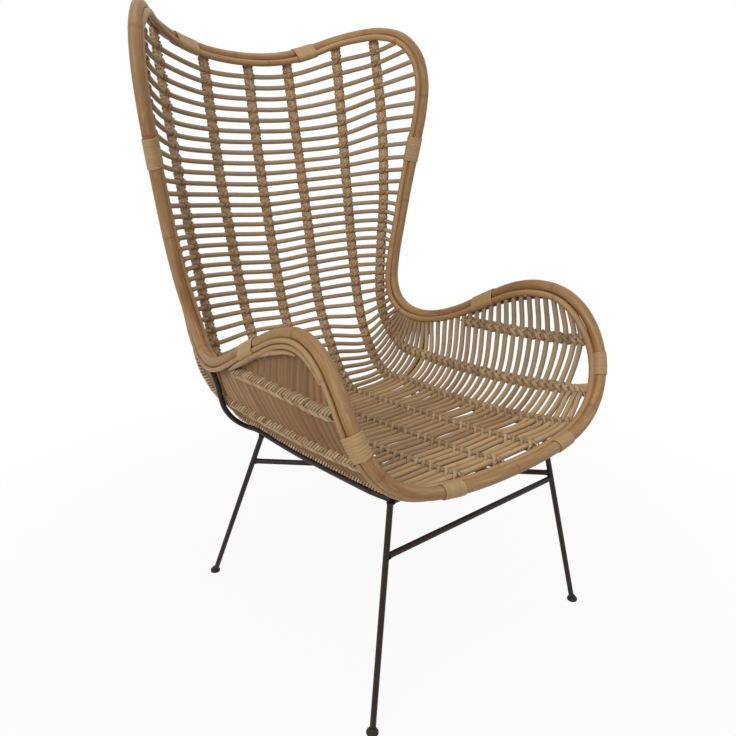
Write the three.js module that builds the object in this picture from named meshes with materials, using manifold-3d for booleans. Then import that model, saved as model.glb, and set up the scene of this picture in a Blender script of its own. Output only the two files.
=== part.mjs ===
// Peacock chair: an open rattan shell with wings and arms, lashed on a bent steel rod frame.
// Millimetres, +Z up, the sitter faces -Y, the floor is z = 0.
import * as THREE from 'three';
import { mergeVertices } from 'three/addons/utils/BufferGeometryUtils.js';
import Module from 'manifold-3d';

const wasm = await Module();
wasm.setup();

// Stock sizes
const RIM_RADIUS = 10.2;
const INNER_RADIUS = 6;
const OUTER_RADIUS = 4.1;
const CANE_RADIUS = 5;
const BAND_WIDTH = 22;
const BAND_THICKNESS = 4.4;
const ROD_RADIUS = 5;
// Half outline of a foot: a round glide with a soft edge and a low crown, as radius and height
const FOOT_OUTLINE = [[0, 0], [9.2, 0], [10, 0.9], [10, 3.4], [8.9, 4.8], [6.4, 6], [0, 6]];
const FOOT_HEIGHT = 6;

// Clearances: between touching pieces, bands and canes, pole lengths (in rim stations) and rods at welds
const FIT_GAP = 0.4;
const BAND_GAP = 0.8;
const JOINT_GAP = 0.02;
const LEG_END_GAP = 2;
const WELD_GAP = 1.4;
const SLANTED_WELD_GAP = 2.6;

// Facets: sides of the round pieces, and how far a chord may stand off its curve
const RIM_SIDES = 8;
const THIN_SIDES = 6;
const PANEL_POLE_SIDES = 5;
const RAIL_SIDES = 8;
const ROD_SIDES = 10;
const FOOT_SIDES = 14;
const SLEEVE_SIDES = 12;
const POLE_SAG = 1;
const BAND_SAG = 0.4;
const SLIVER = 0.2;
const SAMPLES = 240;
const WELD_DISTANCE = 1e-4;

// Where the poles and cane ends lie beside the rim line: first into the shell, then towards the sitter
const ON_RIM = [-1.8, 0];
const INNER_AT = [11, 11.3];
const CANE_END_AT = [12.7, 5.8];
const OUTER_UPPER_AT = [7.4, -11.7];
const OUTER_LOWER_AT = [16, -12];
const OUTER_SHORT_AT = [24.6, -12];

// Rim line on the sitter's right, from the top centre round to the front centre.
// Each station is a point and then the way from it into the shell.
const RIM_HALF = [
  [0, 380, 1041, 0, -0.2, -1],
  [-90, 384, 1049, 0, -0.2, -1],
  [-165, 376, 1069, 0.05, -0.2, -1],
  [-207, 354, 1085, 0.1, -0.2, -1],
  [-241, 312, 1096, 0.1, -0.15, -1],
  [-269, 266, 1099, 0.2, -0.05, -1],
  [-293, 224, 1087, 0.4, 0.2, -0.9],
  [-311, 196, 1055, 0.5, 0.4, -0.75],
  [-319, 182, 1005, 0.6, 0.6, -0.4],
  [-316, 182, 938, 0.65, 0.7, -0.1],
  [-305, 191, 860, 0.7, 0.7, 0],
  [-292, 200, 777, 0.75, 0.65, 0],
  [-279, 206, 696, 0.8, 0.5, 0],
  [-266, 208, 625, 0.8, 0.5, -0.1],
  [-256, 201, 569, 0.7, 0.6, -0.3],
  [-254, 181, 530, 0.4, 0.5, -0.8],
  [-259, 150, 507, 0.35, 0.2, -0.9],
  [-267, 108, 500, 0.35, -0.1, -0.95],
  [-275, 60, 508, 0.3, -0.15, -1],
  [-279, 8, 528, 0.15, -0.1, -1],
  [-279, -45, 555, 0.05, 0, -1],
  [-276, -100, 583, 0, 0, -1],
  [-274, -153, 606, -0.05, 0, -1],
  [-275, -203, 616, -0.05, 0, -1],
  [-280, -249, 611, -0.03, 0.1, -1],
  [-284, -285, 592, 0, 0.4, -0.9],
  [-286, -314, 561, 0.05, 0.75, -0.65],
  [-284, -335, 524, 0.15, 0.85, -0.5],
  [-274, -350, 485, 0.35, 0.8, -0.45],
  [-254, -361, 449, 0.4, 0.85, -0.35],
  [-223, -369, 421, 0.35, 0.9, -0.25],
  [-181, -376, 404, 0.2, 0.95, -0.15],
  [-128, -381, 395, 0.1, 1, -0.1],
  [-66, -385, 391, 0, 1, -0.05],
  [0, -386, 390, 0, 1, -0.05],
];

// Twined bands at matching levels, from the top of the back, down it and forward along the seat.
const BAND_LEVELS = {
  outer: [
    [-258, 279, 1084], [-264, 258, 940], [-259, 241, 775], [-236, 226, 568], [-238, 207, 474],
    [-237, 142, 424], [-236, 55, 420], [-237, -70, 423], [-241, -205, 432], [-246, -308, 445],
    [-249, -338, 449], [-250, -348, 449],
  ],
  side: [
    [-209, 351, 1070], [-206, 325, 910], [-201, 302, 768], [-192, 260, 562], [-190, 218, 440],
    [-190, 152, 368], [-190, 62, 368], [-190, -64, 369], [-192, -195, 378], [-198, -302, 391],
    [-201, -345, 402], [-202, -356, 407],
  ],
  inner: [
    [-99, 380, 1034], [-100, 355, 895], [-100, 328, 761], [-95, 281, 556], [-93, 234, 450],
    [-92, 160, 353], [-91, 70, 350], [-90, -60, 360], [-90, -192, 371], [-91, -300, 383],
    [-91, -350, 391], [-91, -373, 392],
  ],
  centre: [
    [0, 377, 1026], [0, 358, 892], [0, 332, 756], [0, 281, 550], [0, 238, 450],
    [0, 160, 350], [0, 70, 347], [0, -60, 357], [0, -190, 368], [0, -300, 380],
    [0, -350, 389], [0, -375.5, 390],
  ],
};
// Rim station that each of the first eleven levels runs out to
const LEVEL_ON_RIM = [5, 8.85, 11, 14, 15.6, 16.5, 17.5, 20, 22.65, 25, 26.6];
// Short band along the upper arm, with the level of each point
const ARM_BAND = [
  [6.65, -272, -8, 509], [6.95, -271, -46, 512], [7.6, -273, -138, 516], [8.2, -278, -218, 521],
  [8.8, -283, -276, 526], [9.3, -284, -308, 531],
];
const ARM_BAND_FIRST = 6.85;
const ARM_BAND_LAST = 9.1;
const ARM_BAND_LEAN = 0.2;

// Canes run from side to side, wider apart on the back than on the seat: first level and spacing
const FIRST_CANE = 20;
const CANE_SPACING = [[0, 22], [2.05, 20.5], [4.6, 18]];
const CORNER_STARTS = 4;
const LAST_CANE = 10;
const LEVEL_STEP = 0.05;
const LEVEL_SEARCH = 0.002;

// Rim stations where lengths of pole meet, each under a binding
const TOP_JOINT = 1.66;
const WING_JOINT = 10;
const ARM_JOINT = 20.4;
const ARM_FRONT = 27.7;
const FRONT_JOINT = 31.9;
// Rim stations where the inner pole is parted between two canes
const WAIST_STARTS = 14.5;
const REAR_SEAT_STARTS = 18;
// Bindings of split peel: rim station, length, steps along it and the thin poles each one takes in
const INNER_POLE = [...INNER_AT, INNER_RADIUS];
const OUTER_UPPER_POLE = [...OUTER_UPPER_AT, OUTER_RADIUS];
const OUTER_LOWER_POLE = [...OUTER_LOWER_AT, OUTER_RADIUS];
const OUTER_SHORT_POLE = [...OUTER_SHORT_AT, OUTER_RADIUS];
const FRONT_LENGTH = 38;
const BINDINGS = [
  { name: 'top', station: TOP_JOINT, length: 54, steps: 2, poles: [INNER_POLE] },
  { name: 'wing', station: WING_JOINT, length: 54, steps: 1, poles: [INNER_POLE] },
  {
    name: 'arm',
    station: ARM_JOINT,
    length: 52,
    steps: 2,
    poles: [INNER_POLE, OUTER_UPPER_POLE, OUTER_LOWER_POLE, OUTER_SHORT_POLE],
  },
  { name: 'arm_front', station: ARM_FRONT, length: 38, steps: 2, poles: [INNER_POLE, OUTER_UPPER_POLE] },
  { name: 'front', station: FRONT_JOINT, length: FRONT_LENGTH, steps: 2, poles: [] },
];
const OUTER_UPPER_STARTS = 11;
const OUTER_LOWER_STARTS = 19.2;
const OUTER_LOWER_ENDS = 25.4;
const OUTER_SHORT_STARTS = 19.4;
const OUTER_SHORT_ENDS = 23.3;
const SLEEVE_INNER = 2.9;
const SLEEVE_OUTER = 4.2;
const SLEEVE_OVERRUN = 8;
const SLOT_REACH = 45;

// Steel frame
const FRONT_FOOT = [-261, -355];
const FRONT_LEG_TOP = [-186, -306, 366];
const REAR_FOOT = [-254, 187];
const REAR_LEG_TOP = [-196, 54, 353];
const STRETCHER_HEIGHT = 278;
const BRACE_HEIGHT = 289;
const CROSS_RAIL_HEIGHT = 357;
// Rear end of the right side rail, from under the rim at the waist down past the outer band
const RAIL_UPRIGHT = [
  [-272.5, 86, 483], [-268.5, 88, 470], [-263, 90, 455], [-259.5, 91, 436],
  [-251.5, 94, 407], [-232, 100, 378], [-211, 101, 359], [-201, 95, 352.8],
];
const RAIL_REAR_LEVEL = 5.77;
const RAIL_FRONT_LEVEL = 8.7;
const RAIL_STEPS = 60;

// Looks of the bare solids
const RATTAN = { color: 0xa07d55, roughness: 0.5, metalness: 0 };
const PEEL = { color: 0xb39468, roughness: 0.6, metalness: 0 };
const CANE = { color: 0x97805c, roughness: 0.7, metalness: 0 };
const TWINE = { color: 0xa88a60, roughness: 0.8, metalness: 0 };
const STEEL = { color: 0x3a302c, roughness: 0.5, metalness: 0.6 };
const FOOT_PLASTIC = { color: 0x2f2724, roughness: 0.7, metalness: 0 };

const chair = new THREE.Group();
chair.name = 'peacock_chair';

function vec(list) {
  return new THREE.Vector3(list[0], list[1], list[2]);
}

function mirror(point) {
  return new THREE.Vector3(-point.x, point.y, point.z);
}

// Closed rim curve: the listed half and its mirror image
const otherHalf = RIM_HALF.slice(1, -1).reverse();
const rimPoints = RIM_HALF.map(vec).concat(otherHalf.map((row) => mirror(vec(row))));
const wayPoints = RIM_HALF.map((row) => vec(row.slice(3))).concat(
  otherHalf.map((row) => mirror(vec(row.slice(3)))),
);
const rimCount = rimPoints.length;
const rimCurve = new THREE.CatmullRomCurve3(rimPoints, true, 'centripetal');
const wayCurve = new THREE.CatmullRomCurve3(wayPoints, true, 'centripetal');

function onLoop(station) {
  return (((station % rimCount) + rimCount) % rimCount) / rimCount;
}

// Length of rim for each station near one of them
function rimPace(station) {
  const reach = 0.05;
  const before = rimCurve.getPoint(onLoop(station - reach));
  return rimCurve.getPoint(onLoop(station + reach)).distanceTo(before) / (2 * reach);
}

// Point beside the rim: so far into the shell and so far towards the sitter
function besideRim(station, into, up) {
  const at = onLoop(station);
  const along = rimCurve.getTangent(at).normalize();
  const inward = wayCurve.getPoint(at);
  inward.addScaledVector(along, -inward.dot(along)).normalize();
  const towards = new THREE.Vector3().crossVectors(along, inward);
  return rimCurve.getPoint(at).addScaledVector(inward, into).addScaledVector(towards, up);
}

// Fewest stations of a fine line that stay within a sag of it
function keepWithin(points, sag, first, last, kept) {
  const from = points[first];
  const chord = points[last].clone().sub(from);
  const length = chord.length();
  chord.normalize();
  let worst = sag;
  let at = -1;
  for (let i = first + 1; i < last; i += 1) {
    const away = points[i].clone().sub(from);
    const along = THREE.MathUtils.clamp(away.dot(chord), 0, length);
    const off = away.addScaledVector(chord, -along).length();
    if (off > worst) {
      worst = off;
      at = i;
    }
  }
  if (at > 0) {
    keepWithin(points, sag, first, at, kept);
    kept.push(at);
    keepWithin(points, sag, at, last, kept);
  }
}

function stationsOf(points, sag) {
  const kept = [0];
  keepWithin(points, sag, 0, points.length - 1, kept);
  kept.push(points.length - 1);
  return kept;
}

function thinned(points, sag) {
  return stationsOf(points, sag).map((i) => points[i]);
}

// Line beside the rim between two stations
function alongRim(from, to, place) {
  const points = [];
  for (let i = 0; i <= SAMPLES; i += 1) {
    points.push(besideRim(from + ((to - from) * i) / SAMPLES, place[0], place[1]));
  }
  return thinned(points, POLE_SAG);
}

function tangentAt(points, i) {
  const before = points[Math.max(0, i - 1)];
  const after = points[Math.min(points.length - 1, i + 1)];
  return after.clone().sub(before).normalize();
}

// Closed body through rings of equal length, capped at both ends
function skin(rings) {
  const size = rings[0].length;
  const position = [];
  const index = [];
  rings.forEach((ring) => ring.forEach((p) => position.push(p.x, p.y, p.z)));
  for (let r = 0; r < rings.length - 1; r += 1) {
    for (let s = 0; s < size; s += 1) {
      const next = (s + 1) % size;
      const a = r * size + s;
      const b = r * size + next;
      index.push(a, b, b + size, a, b + size, a + size);
    }
  }
  const last = (rings.length - 1) * size;
  for (let s = 1; s < size - 1; s += 1) {
    index.push(0, s + 1, s);
    index.push(last, last + s, last + s + 1);
  }
  const geometry = new THREE.BufferGeometry();
  geometry.setAttribute('position', new THREE.Float32BufferAttribute(position, 3));
  geometry.setIndex(index);
  return geometry;
}

// Round rod along points
function rod(points, radius, sides) {
  const rings = [];
  let across = null;
  points.forEach((point, i) => {
    const along = tangentAt(points, i);
    if (across === null) {
      const helper = Math.abs(along.z) < 0.9 ? new THREE.Vector3(0, 0, 1) : new THREE.Vector3(0, 1, 0);
      across = new THREE.Vector3().crossVectors(helper, along);
    }
    across.addScaledVector(along, -across.dot(along)).normalize();
    const third = new THREE.Vector3().crossVectors(along, across);
    const ring = [];
    for (let s = 0; s < sides; s += 1) {
      const turn = (2 * Math.PI * s) / sides;
      ring.push(point.clone()
        .addScaledVector(across, radius * Math.cos(turn))
        .addScaledVector(third, radius * Math.sin(turn)));
    }
    rings.push(ring);
  });
  return skin(rings);
}

function solidOf(geometry) {
  const bare = geometry.clone();
  bare.deleteAttribute('normal');
  bare.deleteAttribute('uv');
  const merged = mergeVertices(bare, WELD_DISTANCE);
  return new wasm.Manifold(new wasm.Mesh({
    numProp: 3,
    vertProperties: new Float32Array(merged.attributes.position.array),
    triVerts: new Uint32Array(merged.index.array),
  }));
}

function geometryOf(solid) {
  const mesh = solid.getMesh();
  const geometry = new THREE.BufferGeometry();
  geometry.setAttribute('position', new THREE.Float32BufferAttribute(mesh.vertProperties, 3));
  geometry.setIndex(Array.from(mesh.triVerts));
  return geometry;
}

function add(name, geometry, look) {
  geometry.computeVertexNormals();
  const material = new THREE.MeshStandardMaterial(look);
  material.name = `${name}_look`;
  const mesh = new THREE.Mesh(geometry, material);
  mesh.name = name;
  chair.add(mesh);
}

// Bands as smooth columns over the levels
const columns = {};
Object.entries(BAND_LEVELS).forEach(([name, rows]) => {
  columns[name] = new THREE.CatmullRomCurve3(rows.map(vec), false, 'catmullrom', 0.5);
});
const lastLevel = BAND_LEVELS.centre.length - 1;

function onBand(name, level) {
  return columns[name].getPoint(Math.min(level, lastLevel) / lastLevel);
}

function stationAt(level) {
  const base = Math.min(Math.floor(level), LEVEL_ON_RIM.length - 2);
  const part = level - base;
  return LEVEL_ON_RIM[base] * (1 - part) + LEVEL_ON_RIM[base + 1] * part;
}

const armBandCurve = new THREE.CatmullRomCurve3(
  ARM_BAND.map((row) => vec(row.slice(1))), false, 'catmullrom', 0.5,
);

function onArmBand(level) {
  const last = ARM_BAND.length - 1;
  let k = 0;
  while (k < last - 1 && ARM_BAND[k + 1][0] < level) {
    k += 1;
  }
  const part = (level - ARM_BAND[k][0]) / (ARM_BAND[k + 1][0] - ARM_BAND[k][0]);
  return armBandCurve.getPoint(THREE.MathUtils.clamp((k + part) / last, 0, 1));
}

// One cane across the shell at a level, from rim to rim
function canePoints(level, like = level) {
  const half = [besideRim(stationAt(level), CANE_END_AT[0], CANE_END_AT[1])];
  if (like > ARM_BAND_FIRST && like < ARM_BAND_LAST) {
    half.push(onArmBand(level));
  }
  half.push(onBand('outer', level), onBand('side', level), onBand('inner', level));
  const control = half.concat([onBand('centre', level)], half.map(mirror).reverse());
  const curve = new THREE.CatmullRomCurve3(control, false, 'centripetal');
  const spans = control.length - 1;
  const split = half.length - 3;
  const points = [];
  for (let i = 0; i < spans; i += 1) {
    points.push(curve.getPoint(i / spans));
    if (like > CORNER_STARTS && (i === split || i === spans - 1 - split)) {
      points.push(curve.getPoint((i + 0.5) / spans));
    }
  }
  points.push(curve.getPoint(1));
  return points;
}

// Cane of four faces, as heavy as the round one, with one face towards the sitter
function cane(level, allowance) {
  const half = CANE_RADIUS * Math.sqrt(Math.PI) / 2 + allowance;
  const points = canePoints(level);
  const nextPoints = canePoints(level + LEVEL_STEP, level);
  const rings = points.map((point, i) => {
    const along = tangentAt(points, i);
    const down = nextPoints[i].clone().sub(point);
    const up = new THREE.Vector3().crossVectors(down, along).normalize();
    const across = new THREE.Vector3().crossVectors(along, up);
    const corners = [[1, 1], [1, -1], [-1, -1], [-1, 1]];
    return corners.map(([a, b]) => point.clone()
      .addScaledVector(up, a * half)
      .addScaledVector(across, -b * half));
  });
  return skin(rings);
}

// Levels of all canes, by distance along the centre band
function caneLevels() {
  const levels = [];
  let travelled = 0;
  let wanted = FIRST_CANE;
  let before = onBand('centre', 0);
  for (let level = LEVEL_SEARCH; level <= LAST_CANE; level += LEVEL_SEARCH) {
    const here = onBand('centre', level);
    travelled += here.distanceTo(before);
    before = here;
    if (travelled >= wanted) {
      levels.push(level);
      wanted += CANE_SPACING.findLast((row) => row[0] <= level)[1];
    }
  }
  return levels;
}

const levels = caneLevels();

// Cane panels, each carried by its two lengths of inner pole
function betweenCanes(station) {
  const stations = levels.map(stationAt);
  const above = Math.max(...stations.filter((other) => other < station));
  const below = Math.min(...stations.filter((other) => other >= station));
  return (above + below) / 2;
}

function canePanel(name, fromStation, toStation) {
  const lengths = [
    [fromStation, toStation],
    [rimCount - toStation, rimCount - fromStation],
  ];
  let solid = null;
  lengths.forEach(([from, to]) => {
    const pole = solidOf(rod(alongRim(from, to, INNER_AT), INNER_RADIUS, PANEL_POLE_SIDES));
    solid = solid === null ? pole : solid.add(pole);
  });
  levels.forEach((level) => {
    const station = stationAt(level);
    if (station > fromStation && station < toStation) {
      solid = solid.add(solidOf(cane(level, 0)));
    }
  });
  add(name, geometryOf(solid.simplify(SLIVER)), CANE);
}

// Unit vector from the shell towards the sitter on a band
function towardsSitter(name, level) {
  const order = ['outer', 'side', 'inner', 'centre'];
  const at = order.indexOf(name);
  const low = Math.max(0, level - LEVEL_STEP);
  const high = Math.min(lastLevel, level + LEVEL_STEP);
  const along = onBand(name, high).sub(onBand(name, low));
  const rimEnd = besideRim(stationAt(Math.min(level, LAST_CANE)), CANE_END_AT[0], CANE_END_AT[1]);
  const rimSide = at === 0 ? rimEnd : onBand(order[at - 1], level);
  const midSide = at === 3 ? mirror(onBand('inner', level)) : onBand(order[at + 1], level);
  return new THREE.Vector3().crossVectors(along, midSide.sub(rimSide)).normalize();
}

// Flat strip behind the canes
function strip(points, normals) {
  const nearest = CANE_RADIUS + BAND_GAP;
  const rings = stationsOf(points, BAND_SAG).map((i) => {
    const point = points[i];
    const along = tangentAt(points, i);
    const up = normals[i].clone();
    up.addScaledVector(along, -up.dot(along)).normalize();
    const across = new THREE.Vector3().crossVectors(up, along);
    const corner = (side, depth) => point.clone()
      .addScaledVector(across, (side * BAND_WIDTH) / 2)
      .addScaledVector(up, -depth);
    return [
      corner(-1, nearest + BAND_THICKNESS),
      corner(1, nearest + BAND_THICKNESS),
      corner(1, nearest),
      corner(-1, nearest),
    ];
  });
  return skin(rings);
}

function longBand(name, side) {
  const points = [];
  const normals = [];
  for (let i = 0; i <= SAMPLES; i += 1) {
    const level = (lastLevel * i) / SAMPLES;
    const point = onBand(name, level);
    const normal = towardsSitter(name, level);
    points.push(side < 0 ? point : mirror(point));
    normals.push(side < 0 ? normal : mirror(normal));
  }
  return strip(points, normals);
}

function armBand(side) {
  const points = [];
  const normals = [];
  for (let i = 0; i <= SAMPLES; i += 1) {
    const point = armBandCurve.getPoint(i / SAMPLES);
    points.push(side < 0 ? point : mirror(point));
    normals.push(new THREE.Vector3(-side, 0, ARM_BAND_LEAN));
  }
  return strip(points, normals);
}

// Distance from the middle of a bundle of poles to its taut wrapping, in one direction
function wrapReach(circles, turn, allowance) {
  const grazing = 0.05;
  let reach = Infinity;
  for (let i = 0; i < SAMPLES; i += 1) {
    const facing = (2 * Math.PI * i) / SAMPLES;
    const slant = Math.cos(turn - facing);
    if (slant > grazing) {
      const support = Math.max(...circles.map((c) => (
        c[0] * Math.cos(facing) + c[1] * Math.sin(facing) + c[2]
      )));
      reach = Math.min(reach, (support + allowance) / slant);
    }
  }
  return reach;
}

// Wound binding: a sleeve drawn round the rim pole and the thin poles beside it
function bindingSolid(station, binding) {
  const circles = [[...ON_RIM, RIM_RADIUS], ...binding.poles];
  const middle = [0, 0];
  circles.forEach((c) => {
    middle[0] += c[0] / circles.length;
    middle[1] += c[1] / circles.length;
  });
  const local = circles.map((c) => [c[0] - middle[0], c[1] - middle[1], c[2]]);
  const shell = (allowance, overrun) => {
    const stations = (binding.length + 2 * overrun) / rimPace(station);
    const rings = [];
    for (let i = 0; i <= binding.steps; i += 1) {
      const at = station + (i / binding.steps - 0.5) * stations;
      const ring = [];
      for (let s = 0; s < SLEEVE_SIDES; s += 1) {
        const turn = (2 * Math.PI * s) / SLEEVE_SIDES;
        const reach = wrapReach(local, turn, allowance);
        const into = middle[0] + reach * Math.cos(turn);
        const up = middle[1] + reach * Math.sin(turn);
        ring.push(besideRim(at, into, up));
      }
      rings.push(ring);
    }
    return solidOf(skin(rings));
  };
  return shell(SLEEVE_OUTER, 0).subtract(shell(SLEEVE_INNER, SLEEVE_OVERRUN));
}

// Slots in a binding where canes come out of it
function caneSlots(binding) {
  const span = (binding.length / 2 + SLOT_REACH) / rimPace(binding.station);
  const near = levels.filter((level) => Math.abs(stationAt(level) - binding.station) < span);
  return near.map((level) => solidOf(cane(level, FIT_GAP)));
}

function leg(foot, top, side) {
  const low = new THREE.Vector3(-side * foot[0], foot[1], 0);
  const high = new THREE.Vector3(-side * top[0], top[1], top[2]);
  const along = high.clone().sub(low).normalize();
  const start = low.clone().addScaledVector(along, (FOOT_HEIGHT + LEG_END_GAP) / along.z);
  const end = high.clone().addScaledVector(along, -(ROD_RADIUS + LEG_END_GAP));
  return [start, end];
}

function onLeg(foot, top, side, height) {
  const part = height / top[2];
  return new THREE.Vector3(
    -side * (foot[0] + (top[0] - foot[0]) * part),
    foot[1] + (top[1] - foot[1]) * part,
    height,
  );
}

// A straight rod between two legs, cut back to their surfaces
function between(from, to, cut) {
  const along = to.clone().sub(from).normalize();
  return [from.clone().addScaledVector(along, cut), to.clone().addScaledVector(along, -cut)];
}

function sideName(side) {
  return side < 0 ? 'right' : 'left';
}

// The sitter's right is -X
const SIDES = [-1, 1];
const sameSide = (points, side) => (side < 0 ? points : points.map(mirror));

// Poles of the rim, and the thin ones beside it
function pole(name, from, to, place, radius, sides) {
  add(name, rod(alongRim(from, to, place), radius, sides), RATTAN);
}

const topSpan = [-TOP_JOINT + JOINT_GAP, TOP_JOINT - JOINT_GAP];
const frontSpan = [FRONT_JOINT + JOINT_GAP, rimCount - FRONT_JOINT - JOINT_GAP];
// The thin poles stop on either side of a front binding, which holds the rim alone
const frontCut = (FRONT_LENGTH / 2 + FIT_GAP) / rimPace(FRONT_JOINT);
const thinFrontSpan = [FRONT_JOINT + frontCut, rimCount - FRONT_JOINT - frontCut];
pole('rim_pole_top', ...topSpan, ON_RIM, RIM_RADIUS, RIM_SIDES);
pole('rim_pole_front', ...frontSpan, ON_RIM, RIM_RADIUS, RIM_SIDES);
pole('inner_pole_top', ...topSpan, INNER_AT, INNER_RADIUS, THIN_SIDES);
pole('inner_pole_front', ...thinFrontSpan, INNER_AT, INNER_RADIUS, THIN_SIDES);
pole('outer_pole_front', ...thinFrontSpan, OUTER_UPPER_AT, OUTER_RADIUS, THIN_SIDES);
SIDES.forEach((side) => {
  const wing = alongRim(TOP_JOINT + JOINT_GAP, ARM_JOINT - JOINT_GAP, ON_RIM);
  const arm = alongRim(ARM_JOINT + JOINT_GAP, FRONT_JOINT - JOINT_GAP, ON_RIM);
  const upper = alongRim(OUTER_UPPER_STARTS, FRONT_JOINT - frontCut, OUTER_UPPER_AT);
  const lower = alongRim(OUTER_LOWER_STARTS, OUTER_LOWER_ENDS, OUTER_LOWER_AT);
  const short = alongRim(OUTER_SHORT_STARTS, OUTER_SHORT_ENDS, OUTER_SHORT_AT);
  const where = sideName(side);
  add(`rim_pole_wing_${where}`, rod(sameSide(wing, side), RIM_RADIUS, RIM_SIDES), RATTAN);
  add(`rim_pole_arm_${where}`, rod(sameSide(arm, side), RIM_RADIUS, RIM_SIDES), RATTAN);
  add(`outer_pole_upper_${where}`, rod(sameSide(upper, side), OUTER_RADIUS, THIN_SIDES), RATTAN);
  add(`outer_pole_lower_${where}`, rod(sameSide(lower, side), OUTER_RADIUS, THIN_SIDES), RATTAN);
  add(`outer_pole_short_${where}`, rod(sameSide(short, side), OUTER_RADIUS, THIN_SIDES), RATTAN);
});

// Canes
const wingSplit = betweenCanes(WING_JOINT);
const waistSplit = betweenCanes(WAIST_STARTS);
const rearSplit = betweenCanes(REAR_SEAT_STARTS);
const armSplit = betweenCanes(ARM_JOINT);
canePanel('canes_upper_back', TOP_JOINT + JOINT_GAP, wingSplit - JOINT_GAP);
canePanel('canes_lower_back', wingSplit + JOINT_GAP, waistSplit - JOINT_GAP);
canePanel('canes_waist', waistSplit + JOINT_GAP, rearSplit - JOINT_GAP);
canePanel('canes_rear_seat', rearSplit + JOINT_GAP, armSplit - JOINT_GAP);
canePanel('canes_seat', armSplit + JOINT_GAP, FRONT_JOINT - frontCut);

// Bands
add('band_centre', longBand('centre', -1), TWINE);
SIDES.forEach((side) => {
  const where = sideName(side);
  add(`band_inner_${where}`, longBand('inner', side), TWINE);
  add(`band_side_${where}`, longBand('side', side), TWINE);
  add(`band_outer_${where}`, longBand('outer', side), TWINE);
  add(`band_arm_${where}`, armBand(side), TWINE);
});

// Bindings
BINDINGS.forEach((binding) => {
  const slots = caneSlots(binding);
  SIDES.forEach((side) => {
    const station = side < 0 ? binding.station : rimCount - binding.station;
    let sleeve = bindingSolid(station, binding);
    slots.forEach((slot) => {
      sleeve = sleeve.subtract(slot);
    });
    add(`binding_${binding.name}_${sideName(side)}`, geometryOf(sleeve.simplify(SLIVER)), PEEL);
  });
});

// Side rails rise outside the arms to the waist, and run under the side bands to the front legs
function railPoints() {
  const drop = CANE_RADIUS + BAND_GAP + BAND_THICKNESS + FIT_GAP + ROD_RADIUS;
  const points = RAIL_UPRIGHT.map(vec);
  for (let i = 0; i <= RAIL_STEPS; i += 1) {
    const level = RAIL_REAR_LEVEL + ((RAIL_FRONT_LEVEL - RAIL_REAR_LEVEL) * i) / RAIL_STEPS;
    points.push(onBand('side', level).addScaledVector(towardsSitter('side', level), -drop));
  }
  points.push(vec(FRONT_LEG_TOP));
  const curve = new THREE.CatmullRomCurve3(points, false, 'centripetal');
  return thinned(curve.getPoints(2 * SAMPLES), BAND_SAG);
}

// Round glide under a leg
function glide(foot, side) {
  const outline = FOOT_OUTLINE.map(([radius, height]) => new THREE.Vector2(radius, height));
  const body = new THREE.LatheGeometry(outline, FOOT_SIDES);
  body.rotateX(Math.PI / 2);
  body.translate(-side * foot[0], foot[1], 0);
  return geometryOf(solidOf(body));
}

const rail = railPoints();
SIDES.forEach((side) => {
  const where = sideName(side);
  add(`side_rail_${where}`, rod(sameSide(rail, side), ROD_RADIUS, RAIL_SIDES), STEEL);
  add(`leg_front_${where}`, rod(leg(FRONT_FOOT, FRONT_LEG_TOP, side), ROD_RADIUS, ROD_SIDES), STEEL);
  add(`leg_rear_${where}`, rod(leg(REAR_FOOT, REAR_LEG_TOP, side), ROD_RADIUS, ROD_SIDES), STEEL);
  add(`foot_front_${where}`, glide(FRONT_FOOT, side), FOOT_PLASTIC);
  add(`foot_rear_${where}`, glide(REAR_FOOT, side), FOOT_PLASTIC);
});

// Rods between the legs
function crossRod(name, from, to, gap) {
  add(name, rod(between(from, to, ROD_RADIUS + gap), ROD_RADIUS, ROD_SIDES), STEEL);
}

const onFrontLeg = (side, height) => onLeg(FRONT_FOOT, FRONT_LEG_TOP, side, height);
const braceStart = onLeg(REAR_FOOT, REAR_LEG_TOP, -1, BRACE_HEIGHT);
crossRod('front_stretcher', onFrontLeg(-1, STRETCHER_HEIGHT), onFrontLeg(1, STRETCHER_HEIGHT), WELD_GAP);
crossRod('front_cross_rail', onFrontLeg(-1, CROSS_RAIL_HEIGHT), onFrontLeg(1, CROSS_RAIL_HEIGHT), WELD_GAP);
crossRod('diagonal_brace', braceStart, onFrontLeg(1, BRACE_HEIGHT), SLANTED_WELD_GAP);

export default chair;
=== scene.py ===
# Looks of the peacock chair: rattan poles, canes, twined bands and peel bindings on a steel rod base.
import math
import random

import bpy
import numpy as np
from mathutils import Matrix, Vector


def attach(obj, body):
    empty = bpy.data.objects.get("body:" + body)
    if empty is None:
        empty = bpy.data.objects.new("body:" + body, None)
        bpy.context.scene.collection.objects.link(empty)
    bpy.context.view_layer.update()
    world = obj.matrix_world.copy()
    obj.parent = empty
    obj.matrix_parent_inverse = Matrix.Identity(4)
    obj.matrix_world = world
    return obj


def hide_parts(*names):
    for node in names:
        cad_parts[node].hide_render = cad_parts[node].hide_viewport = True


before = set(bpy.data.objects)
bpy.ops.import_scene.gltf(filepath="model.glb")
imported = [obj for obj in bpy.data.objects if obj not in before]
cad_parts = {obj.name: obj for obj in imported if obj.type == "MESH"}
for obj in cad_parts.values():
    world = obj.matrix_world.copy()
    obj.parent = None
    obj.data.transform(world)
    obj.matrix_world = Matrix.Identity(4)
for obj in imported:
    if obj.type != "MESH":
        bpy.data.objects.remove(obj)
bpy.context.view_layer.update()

MM = 0.001
# Parts of the way between two points of a curve, for its direction and speed
NEARBY = 0.01
POINT_STEP = 0.05

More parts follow.
